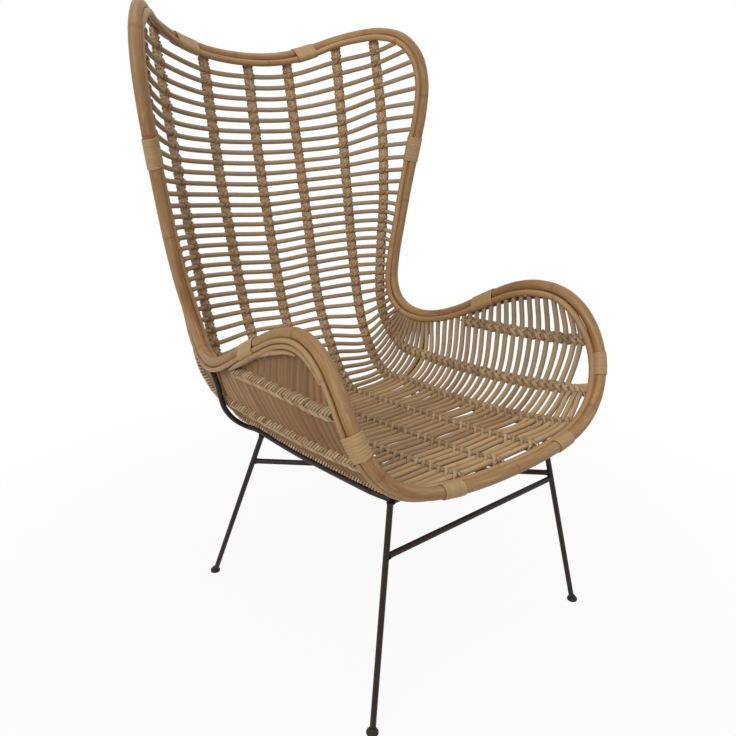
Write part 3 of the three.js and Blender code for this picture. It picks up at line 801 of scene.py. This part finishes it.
def swept(graph, geometry, sides, width, thickness):
    """Sweeps an oval along every line, facing the way that its points say."""
    facing = named(graph, "facing", "FLOAT_VECTOR")
    lines = graph.add("GeometryNodeMeshToCurve", {}, {"Mesh": geometry})
    lines = graph.add("GeometryNodeSetCurveNormal", {"mode": "FREE"}, {"Curve": lines, "Normal": facing})
    oval = graph.add("GeometryNodeCurvePrimitiveCircle", {}, {"Resolution": sides, "Radius": 1.0})
    oval = graph.add(
        "GeometryNodeStoreNamedAttribute", {"data_type": "FLOAT_VECTOR"},
        {"Geometry": oval, "Name": "ring", "Value": graph.add("GeometryNodeInputPosition")},
    )
    size = graph.add("ShaderNodeCombineXYZ", {}, {0: thickness * 0.5, 1: width * 0.5, 2: 1.0})
    oval = graph.add("GeometryNodeTransform", {}, {"Geometry": oval, "Scale": size})
    body = graph.add(
        "GeometryNodeCurveToMesh", {},
        {"Curve": lines, "Profile Curve": oval, "Scale": named(graph, "swell", "FLOAT"), "Fill Caps": True},
    )
    return graph.add("GeometryNodeSetShadeSmooth", {}, {"Geometry": body})


def close_tree(graph, geometry, material):
    whole = graph.add("GeometryNodeRealizeInstances", {}, {"Geometry": geometry})
    whole = graph.add("GeometryNodeSetMaterial", {}, {"Geometry": whole, "Material": material})
    graph.add("NodeGroupOutput", {}, {"Geometry": whole})


SWEEP_INPUTS = [
    ("Sides", "NodeSocketInt"), ("Width", "NodeSocketFloat"), ("Thickness", "NodeSocketFloat"),
    ("Finish", "NodeSocketMaterial"),
]
STITCH_LABELS = {LEFT_STITCH: "Left stitch", RIGHT_STITCH: "Right stitch", KNOT: "Knot"}


def sweep_tree():
    tree, graph, wires, sockets = new_geometry_tree("swept_strand", SWEEP_INPUTS)
    body = swept(graph, wires["Geometry"], wires["Sides"], wires["Width"], wires["Thickness"])
    close_tree(graph, body, wires["Finish"])
    return tree, sockets


def band_tree():
    """Core along the lines, and stitches set on the loose points by their kind."""
    inputs = SWEEP_INPUTS + [(label, "NodeSocketObject") for label in STITCH_LABELS.values()]
    tree, graph, wires, sockets = new_geometry_tree("twined_band", inputs)
    parts = [swept(graph, wires["Geometry"], wires["Sides"], wires["Width"], wires["Thickness"])]
    axes = {
        "Primary Axis": named(graph, "facing", "FLOAT_VECTOR"),
        "Secondary Axis": named(graph, "course", "FLOAT_VECTOR"),
    }
    turn = graph.add("FunctionNodeAxesToRotation", {"primary_axis": "Z", "secondary_axis": "Y"}, axes)
    for kind, label in STITCH_LABELS.items():
        test = {"data_type": "INT", "operation": "EQUAL"}
        chosen = graph.add("FunctionNodeCompare", test, {2: named(graph, "kind", "INT"), 3: kind})
        shape = graph.add("GeometryNodeObjectInfo", {}, {"Object": wires[label]}, out=4)
        parts.append(graph.add(
            "GeometryNodeInstanceOnPoints", {},
            {"Points": wires["Geometry"], "Selection": chosen, "Instance": shape, "Rotation": turn,
             "Scale": named(graph, "swell", "FLOAT")},
        ))
    close_tree(graph, graph.add("GeometryNodeJoinGeometry", {}, {"Geometry": parts}), wires["Finish"])
    return tree, sockets


SWEEP_TREE, SWEEP_SOCKETS = sweep_tree()
BAND_TREE, BAND_SOCKETS = band_tree()


# Lines that trees work on

# The last value carries painted light: the backlit greyish tint of canes, and on a core the switch for
# painted shade on its outer side
LINE_VALUES = ("tone", "along", "swell", "joint", "grey")


def hump(distance, length):
    """One at no distance, and less to either side of it."""
    return np.exp(-(distance / length) ** 2)


def carried_facing(points, hint):
    """A direction square to the line, carried along it without twist."""
    facing = []
    way = np.asarray(hint, dtype=float)
    for i in range(len(points)):
        along = unit(points[min(i + 1, len(points) - 1)] - points[max(i - 1, 0)])
        way = square_to(way, along)
        facing.append(way)
    return np.array(facing)


def line(points, facing, tone=0.5, swell=None, joint=None, grey=0.0):
    """One line in millimetres with what its points carry."""
    points = np.asarray(points, dtype=float)
    count = len(points)
    return {
        "points": points,
        "facing": np.asarray(facing, dtype=float),
        "along": lengths_along(points) * MM,
        "tone": np.broadcast_to(np.asarray(tone, dtype=float), (count,)),
        "swell": np.ones(count) if swell is None else np.asarray(swell),
        "joint": np.zeros(count) if joint is None else np.asarray(joint),
        "grey": np.broadcast_to(np.asarray(grey, dtype=float), (count,)),
    }


def store(mesh, name, kind, values):
    layer = mesh.attributes.new(name, kind, "POINT")
    key = "vector" if kind == "FLOAT_VECTOR" else "value"
    layer.data.foreach_set(key, np.ascontiguousarray(values).ravel())


def lines_object(name, lines, stitches=None):
    """Mesh of edges for the lines, and of loose points for the stitches."""
    points = [entry["points"] * MM for entry in lines]
    edges = []
    start = 0
    for part in points:
        edges += [(start + i, start + i + 1) for i in range(len(part) - 1)]
        start += len(part)
    layers = {key: [entry[key] for entry in lines] for key in ("facing",) + LINE_VALUES}
    kinds = [np.zeros(start, dtype=np.int32)]
    courses = [np.zeros((start, 3))]
    if stitches:
        points.append(np.array([s["point"] for s in stitches]) * MM)
        for layer, key in (("facing", "facing"), ("tone", "tone"), ("swell", "size"), ("joint", "red")):
            layers[layer].append(np.array([s[key] for s in stitches]))
        for layer in ("along", "grey"):
            layers[layer].append(np.zeros(len(stitches)))
        kinds.append(np.array([s["kind"] for s in stitches], dtype=np.int32))
        courses.append(np.array([s["course"] for s in stitches]))
    mesh = bpy.data.meshes.new(name)
    mesh.from_pydata(np.concatenate(points).tolist(), edges, [])
    store(mesh, "facing", "FLOAT_VECTOR", np.concatenate(layers["facing"]))
    store(mesh, "course", "FLOAT_VECTOR", np.concatenate(courses))
    store(mesh, "kind", "INT", np.concatenate(kinds))
    for key in LINE_VALUES:
        store(mesh, key, "FLOAT", np.concatenate(layers[key]))
    piece = bpy.data.objects.new(name, mesh)
    bpy.context.scene.collection.objects.link(piece)
    return piece


def settle(piece, tree, sockets, values):
    """Runs a tree on a piece and keeps the result as a plain mesh."""
    modifier = piece.modifiers.new(tree.name, "NODES")
    modifier.node_group = tree
    for label, value in values.items():
        modifier[sockets[label]] = value
    graph = bpy.context.evaluated_depsgraph_get()
    result = piece.evaluated_get(graph)
    mesh = bpy.data.meshes.new_from_object(result, preserve_all_data_layers=True, depsgraph=graph)
    piece.modifiers.clear()
    bare = piece.data
    piece.data = mesh
    bpy.data.meshes.remove(bare)
    mesh.name = piece.name
    return piece


def sweep(name, lines, width, thickness, sides, material):
    values = {"Sides": sides, "Width": width * MM, "Thickness": thickness * MM, "Finish": material}
    return settle(lines_object(name, lines), SWEEP_TREE, SWEEP_SOCKETS, values)


def place_piece(piece, slot, *nodes):
    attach(piece, "root")
    if nodes:
        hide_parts(*nodes)
    return piece


# Rattan poles

def grown(points, hint, spacing, ridge, tapers=NO_TAPERS):
    """Pole line with growth rings, a swell at each, a shade for each stretch and tapered ends."""
    points = np.asarray(points)
    along = lengths_along(points)
    rings = [chance.uniform(*FIRST_RING) * spacing]
    while rings[-1] < along[-1]:
        rings.append(rings[-1] + chance.uniform(*RING_SCATTER) * spacing)
    shades = [chance.uniform(*POLE_TONE) for _ in range(len(rings) + 1)]
    edges = [-spacing] + rings
    centres = [edge + spacing / 2 for edge in edges]
    tone = np.interp(along, centres, shades)
    swell = np.ones(len(points))
    joint = np.zeros(len(points))
    for ring in rings:
        swell += ridge * hump(along - ring, RIDGE_LENGTH)
        swell -= ridge * HOLLOW_SHARE * hump(along - ring - HOLLOW_AFTER, HOLLOW_LENGTH)
        joint += hump(along - ring, STAIN_LENGTH)
    for length, distance in ((tapers[0], along), (tapers[1], along[-1] - along)):
        if length:
            swell *= TAPER_TIP + (1.0 - TAPER_TIP) * np.clip(distance / length, 0.0, 1.0) ** TAPER_POWER
    return line(points, carried_facing(points, hint), tone, swell, np.minimum(joint, 1.0))


def rim_line(first, last, place, tapers=NO_TAPERS):
    _, hint, _ = rim_frame(first)
    return grown(along_rim(first, last, place, POLE_STEP), hint, RING_SPACING, RING_RIDGE, tapers)


def pole(name, first, last, place, diameter, sides, material, slot, tapers=NO_TAPERS):
    piece = sweep(name + "_pole", [rim_line(first, last, place, tapers)], diameter, diameter, sides, material)
    return place_piece(piece, slot, name)


def other_side(station):
    return RIM_COUNT - station


def make_poles():
    rim_kind = (RIM_DIAMETER, RIM_SIDES, rim_material, "rim_pole")
    inner_kind = (INNER_DIAMETER, THIN_SIDES, thin_material, "thin_pole")
    outer_kind = (OUTER_DIAMETER, THIN_SIDES, thin_material, "thin_pole")
    outer_first = FRONT_JOINT + FRONT_CUT
    outer_last = FRONT_JOINT - FRONT_CUT
    pole("rim_pole_top", -TOP_JOINT, TOP_JOINT, ON_RIM, *rim_kind)
    pole("rim_pole_front", FRONT_JOINT, other_side(FRONT_JOINT), ON_RIM, *rim_kind)
    pole("inner_pole_top", -TOP_JOINT, TOP_JOINT, INNER_AT, *inner_kind)
    pole("inner_pole_front", FRONT_JOINT, other_side(FRONT_JOINT), INNER_AT, *inner_kind)
    pole("outer_pole_front", outer_first, other_side(outer_first), OUTER_UPPER_AT, *outer_kind)
    runs = [
        ("rim_pole_wing", TOP_JOINT, ARM_JOINT, ON_RIM, rim_kind, NO_TAPERS),
        ("rim_pole_arm", ARM_JOINT, FRONT_JOINT, ON_RIM, rim_kind, NO_TAPERS),
        ("outer_pole_upper", OUTER_UPPER_STARTS, outer_last, OUTER_UPPER_AT, outer_kind, UPPER_TAPERS),
        ("outer_pole_lower", OUTER_LOWER_STARTS, OUTER_LOWER_ENDS, OUTER_LOWER_AT, outer_kind, LOWER_TAPERS),
        ("outer_pole_short", OUTER_SHORT_STARTS, OUTER_SHORT_ENDS, OUTER_SHORT_AT, outer_kind, SHORT_TAPERS),
    ]
    for name, first, last, place, kind, tapers in runs:
        pole(name + "_right", first, last, place, *kind, tapers)
        pole(name + "_left", other_side(last), other_side(first), place, *kind, tapers[::-1])
    sides = []
    for first, last in ((TOP_JOINT, FRONT_JOINT), (other_side(FRONT_JOINT), other_side(TOP_JOINT))):
        sides.append(rim_line(first, last, INNER_AT))
    piece = sweep("inner_pole_sides", sides, INNER_DIAMETER, INNER_DIAMETER, THIN_SIDES, thin_material)
    place_piece(piece, "thin_pole")


# Canes

def cane_line(level, pair):
    points = cane_route(level, pair)
    to_sitter = np.array([-points[0][0], SITTER_AT - points[0][1], 0.0])
    cane = grown(points, to_sitter, CANE_RING_SPACING, CANE_RIDGE)
    shade = chance.gauss(BACK_CANE_TONE if level < SEAT_STARTS else SEAT_CANE_TONE, CANE_TONE_SPREAD)
    cane["tone"] = np.clip(shade + CANE_TONE_DRIFT * (cane["tone"] - 0.5), 0.0, 1.0)
    cane["joint"] = cane["joint"] * CANE_STAIN
    cane["swell"] = cane["swell"] * np.interp(level, CANES_SWELL, (1.0, SEAT_CANE_SWELL))
    # Painted backlit greyish tint of the sitter's side, on the back and up the arms
    back_grey = np.interp(level, BACK_GREY_FADES, (1.0, 0.0))
    arm_grey = np.interp(np.abs(points[:, 0]), ARM_GREY_GROWS, (0.0, ARM_GREY))
    cane["grey"] = np.maximum(back_grey, arm_grey)
    return cane


def make_canes():
    panels = {
        "canes_upper_back": (TOP_JOINT, WING_JOINT),
        "canes_lower_back": (WING_JOINT, WAIST_STARTS),
        "canes_waist": (WAIST_STARTS, REAR_SEAT_STARTS),
        "canes_rear_seat": (REAR_SEAT_STARTS, ARM_JOINT),
        "canes_seat": (ARM_JOINT, FRONT_JOINT),
    }
    for node, (first, last) in panels.items():
        levels = [level for level in CANE_LEVELS if first <= rim_station(level) < last]
        lines = [cane_line(level, 1 if number % 2 else -1) for number, level in enumerate(levels)]
        piece = sweep(node + "_round", lines, CANE_DIAMETER, CANE_DIAMETER, CANE_SIDES, cane_material)
        place_piece(piece, "cane", node)


# Twined bands

def strand_mesh(name, routes, width, thickness):
    """Short strands as a pattern object for the band tree, which gives each copy its own shade."""
    lines = [line(points, facing) for points, facing in routes]
    pattern = sweep(name, lines, width, thickness, STRAND_SIDES, strand_material)
    for value in ("tone", "grey", "joint"):
        pattern.data.attributes.remove(pattern.data.attributes[value])
    return pattern


def half_wrap(side):
    """Strand from the outer middle of a band, slanting to its edge and round to the inner face."""
    outer = -(CORE_DEPTH + CORE_THICKNESS / 2 + STRAND_THICKNESS / 2)
    inner = CORE_THICKNESS / 2 - CORE_DEPTH
    points = [
        (-0.6, -9.6, outer + 1.6), (2.0, -5.6, outer - 0.4), (5.6, -0.6, outer), (8.8, 3.7, outer + 1.6),
        (10.4, 6.4, -CORE_DEPTH - 0.8), (9.6, 7.8, -CORE_DEPTH + 2.4), (6.6, 8.6, inner),
    ]
    facing = [
        (0, 0, -1), (0, 0, -1), (0.1, 0, -1), (0.5, 0, -0.87), (0.97, 0, -0.25), (0.7, 0, 0.7), (0, 0, 1),
    ]
    turn = np.array([side, 1, 1])
    return np.array(points) * turn, np.array(facing) * turn


def knot_routes():
    """Two ribbons of strands that cross over a cane, the second on top of the first."""
    routes = []
    for side, lift in ((-1, 0.0), (1, KNOT_LIFT)):
        points = []
        facing = []
        for part in np.linspace(0.0, 1.0, KNOT_POINTS):
            angle = math.radians(KNOT_TURN * (2 * part - 1))
            reach = (CANE_DIAMETER + KNOT_THICKNESS) / 2 + KNOT_GAP + lift * math.sin(math.pi * part)
            across = side * KNOT_REACH * (2 * part - 1)
            points.append((across, reach * math.sin(angle), reach * math.cos(angle)))
            facing.append((0.0, math.sin(angle), math.cos(angle)))
        routes.append((np.array(points), np.array(facing)))
    return routes


def shade_from(tone):
    """A shade drawn around a middle with a spread."""
    return min(max(chance.gauss(*tone), 0.0), 1.0)


def stitch(kind, where, tone, red, size):
    point, along, towards = where
    return {"kind": kind, "point": point, "course": along, "facing": towards,
            "tone": tone, "red": red, "size": size}


def band_stitches(place, length, knots):
    """Stitches along a band and knots on its canes; place gives point and ways for a part of the length."""
    stitches = []
    count = int(length / STITCH_PITCH)
    for i in range(count):
        for kind, shift in ((LEFT_STITCH, 0.0), (RIGHT_STITCH, 0.5)):
            where = place((i + shift) / count)
            tone = shade_from(STITCH_TONE)
            stitches.append(stitch(kind, where, tone, 0.0, chance.uniform(*STITCH_SIZE)))
    for where, tone, red, size in knots:
        stitches.append(stitch(KNOT, where, tone, red, size * chance.uniform(*KNOT_SIZE)))
    return stitches


def make_band(node, place, length, span, tone_at, knots, patterns):
    """Core and stitches of a band; tone_at gives the core's shade for parts of the length."""
    stitches = band_stitches(place, length, knots)
    parts = np.linspace(*span, int(length / CORE_STEP))
    placed = [place(part) for part in parts]
    core = [point - towards * CORE_DEPTH for point, _, towards in placed]
    facing = [towards for _, _, towards in placed]
    # The core's line switches on painted shade on its outer side
    piece = lines_object(node + "_twined", [line(core, facing, tone_at(parts), grey=1.0)], stitches)
    values = {"Sides": CORE_SIDES, "Width": CORE_WIDTH * MM, "Thickness": CORE_THICKNESS * MM,
              "Finish": strand_material, **patterns}
    settle(piece, BAND_TREE, BAND_SOCKETS, values)
    place_piece(piece, "twine", node)


def flip(point, side):
    return np.asarray(point) if side < 0 else mirrored(point)


SIDE_WORDS = {-1: "_right", 1: "_left", 0: ""}


def make_long_band(name, side, patterns):
    levels = np.linspace(BAND_STARTS, LAST_LEVEL, BAND_SAMPLES)
    lengths = lengths_along([on_band(name, level) for level in levels])

    def level_at(part):
        return np.interp(part * lengths[-1], lengths, levels)

    def frame_at(level):
        along, towards = band_facing(name, level)
        return flip(on_band(name, level), side), flip(along, side), flip(towards, side)

    def place(part):
        return frame_at(float(level_at(part)))

    def tone_at(parts):
        return np.interp(level_at(parts), CORE_DARKENS, (CORE_TONE, SEAT_CORE_TONE))

    knots = []
    for level in CANE_LEVELS:
        if level < SEAT_STARTS:
            tone = shade_from(BACK_KNOT_TONE)
            knots.append((frame_at(level), tone, chance.uniform(*BACK_KNOT_RED), 1.0))
        else:
            knots.append((frame_at(level), shade_from(SEAT_KNOT_TONE), 0.0, SEAT_KNOT_SIZE))
    make_band("band_" + name + SIDE_WORDS[side], place, lengths[-1], CORE_SPAN, tone_at, knots, patterns)


def make_arm_band(side, patterns):
    last = len(ARM_BAND) - 1
    places = np.linspace(0.0, last, ARM_BAND_SAMPLES)
    lengths = lengths_along([arm_band.at(place) for place in places])

    def frame_at(where):
        along = unit(arm_band.at(min(where + POINT_STEP, last)) - arm_band.at(max(where - POINT_STEP, 0.0)))
        towards = square_to(np.array(ARM_BAND_FACES), along)
        return flip(arm_band.at(where), side), flip(along, side), flip(towards, side)

    def place(part):
        return frame_at(float(np.interp(part * lengths[-1], lengths, places)))

    def tone_at(_):
        return SEAT_CORE_TONE

    knots = []
    for level in CANE_LEVELS:
        if on_arm(level):
            knots.append((frame_at(arm_band_place(level)), shade_from(ARM_KNOT_TONE), 0.0, SEAT_KNOT_SIZE))
    make_band("band_arm" + SIDE_WORDS[side], place, lengths[-1], ARM_CORE_SPAN, tone_at, knots, patterns)


def make_bands():
    patterns = {
        "Left stitch": strand_mesh("stitch_left", [half_wrap(-1)], STRAND_WIDTH, STRAND_THICKNESS),
        "Right stitch": strand_mesh("stitch_right", [half_wrap(1)], STRAND_WIDTH, STRAND_THICKNESS),
        "Knot": strand_mesh("knot", knot_routes(), KNOT_WIDTH, KNOT_THICKNESS),
    }
    make_long_band("centre", 0, patterns)
    for side in (-1, 1):
        for name in ("inner", "side", "outer"):
            make_long_band(name, side, patterns)
        make_arm_band(side, patterns)
    for pattern in patterns.values():
        bpy.data.objects.remove(pattern)


# Bindings

def wrap_reach(circles, turn, allowance):
    """Distance from the middle of a bundle of poles to its taut wrapping, in one direction."""
    reach = math.inf
    for facing in np.linspace(0.0, 2 * math.pi, WRAP_FACINGS, endpoint=False):
        slant = math.cos(turn - facing)
        if slant > LEAST_SLANT:
            support = max(c[0] * math.cos(facing) + c[1] * math.sin(facing) + c[2] for c in circles)
            reach = min(reach, (support + allowance) / slant)
    return reach


def wound(circles, at, length):
    """Winding of peel round a bundle of poles at a rim station: points and the ways out of the bundle."""
    middle = np.mean([c[:2] for c in circles], axis=0)
    local = [(c[0] - middle[0], c[1] - middle[1], c[2]) for c in circles]
    allowance = PEEL_THICKNESS / 2 + PEEL_GAP
    reaches = [wrap_reach(local, 2 * math.pi * s / WRAP_STEPS, allowance) for s in range(WRAP_STEPS)]
    steps = round(length / PEEL_PITCH) * WRAP_STEPS
    stations = length / station_length(at)
    points = []
    facing = []
    for k in range(steps + 1):
        turn = 2 * math.pi * k / WRAP_STEPS
        point, inward, towards = rim_frame(at + (k / steps - 0.5) * stations)
        way = inward * math.cos(turn) + towards * math.sin(turn)
        points.append(point + inward * middle[0] + towards * middle[1] + way * reaches[k % WRAP_STEPS])
        facing.append(way)
    return np.array(points), np.array(facing)


def station_length(at):
    """Length of rim from one station to the next, near a station."""
    return math.dist(rim.at(at + POINT_STEP), rim.at(at - POINT_STEP)) / (2 * POINT_STEP)


def make_binding(node, at, length, thin_poles):
    circles = [(*ON_RIM, RIM_DIAMETER / 2)] + thin_poles
    points, facing = wound(circles, at, length)
    steps = len(points)
    shades = [chance.uniform(*PEEL_TONE) for _ in range(PEEL_SHADES)]
    tone = np.interp(range(steps), np.linspace(0, steps, PEEL_SHADES), shades)
    strip = line(points, facing, tone)
    piece = sweep(node + "_wound", [strip], PEEL_WIDTH, PEEL_THICKNESS, PEEL_SIDES, peel_material)
    place_piece(piece, "peel", node)


def make_bindings():
    for name, (station, (right, left), thin_poles) in BINDINGS.items():
        make_binding("binding_" + name + "_right", station, right, thin_poles)
        make_binding("binding_" + name + "_left", other_side(station), left, thin_poles)


# Steel frame

def rod_line(points, welded_start, welded_end):
    """Rod whose welded ends flare into a small bead."""
    points = np.asarray(points, dtype=float)
    along = lengths_along(points)
    swell = np.ones(len(points))
    if welded_start:
        swell += WELD_BEAD * hump(along, BEAD_LENGTH)
    if welded_end:
        swell += WELD_BEAD * hump(along[-1] - along, BEAD_LENGTH)
    return line(points, carried_facing(points, ROD_FACES), swell=swell)


def straight(first, last):
    """Points of a rod, close together at its ends for the weld beads."""
    length = math.dist(first, last)
    distances = BEAD_POINTS + [length / 2] + [length - d for d in reversed(BEAD_POINTS)]
    way = unit(np.asarray(last) - np.asarray(first))
    return [np.asarray(first) + way * d for d in distances]


def on_leg(foot, top, side, height):
    part = height / top[2]
    return flip(np.asarray(foot) + (np.asarray(top) - np.asarray(foot)) * part, side)


def between(first, last):
    """Rod from one leg's middle line to another's, cut to sink a little into both."""
    way = unit(last - first)
    cut = ROD_DIAMETER / 2 - WELD_SINK
    return straight(first + way * cut, last - way * cut)


def rail_points():
    points = [np.array(point) for point in RAIL_UPRIGHT]
    for level in np.linspace(RAIL_REAR_LEVEL, RAIL_FRONT_LEVEL, RAIL_LEVELS):
        _, towards = band_facing("side", level)
        points.append(on_band("side", level) - towards * RAIL_DEPTH)
    points.append(np.array(FRONT_LEG_TOP))
    path = Path(points)
    return evenly([path.at(place) for place in np.linspace(0, len(points) - 1, RAIL_SAMPLES)], RAIL_STEP)


def rod(node, points, welded_start=True, welded_end=True):
    lines = [rod_line(points, welded_start, welded_end)]
    piece = sweep(node + "_rod", lines, ROD_DIAMETER, ROD_DIAMETER, ROD_SIDES, steel_material)
    place_piece(piece, "steel_rod", node)


def make_foot(node, foot, side):
    """Round glide turned with a soft edge, a domed top and a collar for the rod."""
    centre = flip(foot, side)
    vertices = [tuple(centre * MM)]
    for radius, height in FOOT_PROFILE[1:-1]:
        for s in range(FOOT_SIDES):
            turn = 2 * math.pi * s / FOOT_SIDES
            offset = np.array([radius * math.cos(turn), radius * math.sin(turn), height])
            vertices.append(tuple((centre + offset) * MM))
    vertices.append(tuple((centre + np.array([0.0, 0.0, FOOT_PROFILE[-1][1]])) * MM))
    top = len(vertices) - 1
    last = top - FOOT_SIDES
    faces = []
    for s in range(FOOT_SIDES):
        after = (s + 1) % FOOT_SIDES
        faces.append((0, 1 + after, 1 + s))
        for low in range(1, last, FOOT_SIDES):
            high = low + FOOT_SIDES
            faces.append((low + s, low + after, high + after, high + s))
        faces.append((last + s, last + after, top))
    mesh = bpy.data.meshes.new(node + "_glide")
    mesh.from_pydata(vertices, [], faces)
    mesh.polygons.foreach_set("use_smooth", [True] * len(faces))
    mesh.materials.append(plastic_material)
    piece = bpy.data.objects.new(node + "_glide", mesh)
    bpy.context.scene.collection.objects.link(piece)
    place_piece(piece, "foot_pad", node)


def make_frame():
    for side in (-1, 1):
        word = SIDE_WORDS[side]
        rail = [flip(point, side) for point in rail_points()]
        rod("side_rail" + word, rail, False, True)
        for end, foot, top in (("front", FRONT_FOOT, FRONT_LEG_TOP), ("rear", REAR_FOOT, REAR_LEG_TOP)):
            low = on_leg(foot, top, side, FOOT_HEIGHT)
            high = on_leg(foot, top, side, top[2] - ROD_DIAMETER / 2)
            rod("leg_" + end + word, straight(low, high), False, True)
            make_foot("foot_" + end + word, foot, side)
    for node, height in (("front_stretcher", STRETCHER_HEIGHT), ("front_cross_rail", CROSS_RAIL_HEIGHT)):
        rod(node, between(*(on_leg(FRONT_FOOT, FRONT_LEG_TOP, side, height) for side in (-1, 1))))
    rear = on_leg(REAR_FOOT, REAR_LEG_TOP, -1, BRACE_HEIGHT)
    front = on_leg(FRONT_FOOT, FRONT_LEG_TOP, 1, BRACE_HEIGHT)
    rod("diagonal_brace", between(rear, front))


# Studio

def background_rays(graph):
    """One for rays that should see the white background, straight or in a reflection."""
    camera = graph.add("ShaderNodeLightPath")
    outputs = camera.socket.node.outputs
    total = camera + Wire(graph, outputs["Is Glossy Ray"]) + Wire(graph, outputs["Is Transmission Ray"])
    return graph.add("ShaderNodeMath", {"operation": "MINIMUM"}, {0: total, 1: 1.0})


def make_floor():
    material, graph = new_material("pale_floor")
    matt = graph.add("ShaderNodeBsdfDiffuse", {}, {"Color": FLOOR_GREY})
    glow = graph.add("ShaderNodeEmission", {}, {"Color": WHITE, "Strength": 1.0})
    place = graph.add("ShaderNodeTexCoord", out=3)
    away = graph.add("ShaderNodeVectorMath", {"operation": "LENGTH"}, {0: place}, out=1)
    clear = ramp(graph, away * 0.5, [(0.25, SHADOW_KEPT), (0.6, 1.0)])
    shader = graph.add("ShaderNodeMixShader", {}, {0: background_rays(graph) * clear, 1: matt, 2: glow})
    graph.add("ShaderNodeOutputMaterial", {}, {"Surface": shader})
    corners = [(x * FLOOR_SIZE, y * FLOOR_SIZE, 0) for x, y in ((-1, -1), (1, -1), (1, 1), (-1, 1))]
    mesh = bpy.data.meshes.new("floor")
    mesh.from_pydata(corners, [], [(0, 1, 2, 3)])
    mesh.materials.append(material)
    floor = bpy.data.objects.new("floor", mesh)
    bpy.context.scene.collection.objects.link(floor)


def make_world():
    world = bpy.data.worlds.new("studio")
    bpy.context.scene.world = world
    world.use_nodes = True
    world.node_tree.nodes.clear()
    graph = Graph(world.node_tree)
    soft = graph.add("ShaderNodeBackground", {}, {"Color": WHITE, "Strength": SOFT_LIGHT})
    white = graph.add("ShaderNodeBackground", {}, {"Color": WHITE, "Strength": 1.0})
    shader = graph.add("ShaderNodeMixShader", {}, {0: background_rays(graph), 1: soft, 2: white})
    graph.add("ShaderNodeOutputWorld", {}, {"Surface": shader})


def face(item, target):
    """Turns a lamp or the camera towards a point."""
    item.rotation_euler = (Vector(target) - item.location).to_track_quat("-Z", "Y").to_euler()


def make_lamp(name, at, size, power):
    data = bpy.data.lights.new(name, "AREA")
    data.shape = "DISK"
    data.size = size
    data.energy = power
    lamp = bpy.data.objects.new(name, data)
    lamp.location = at
    face(lamp, LAMPS_FACE)
    bpy.context.scene.collection.objects.link(lamp)


def make_camera():
    data = bpy.data.cameras.new("camera")
    data.sensor_width = SENSOR
    data.lens = FOCAL_PIXELS / PICTURE * SENSOR
    camera = bpy.data.objects.new("camera", data)
    camera.location = CAMERA_AT
    face(camera, CAMERA_LOOKS_AT)
    bpy.context.scene.collection.objects.link(camera)
    bpy.context.scene.camera = camera


def make_studio():
    make_floor()
    make_world()
    for lamp in LAMPS:
        make_lamp(*lamp)
    bpy.context.scene.view_settings.view_transform = "Standard"


make_camera()
make_poles()
make_canes()
make_bands()
make_bindings()
make_frame()
make_studio()

bpy.context.view_layer.update()
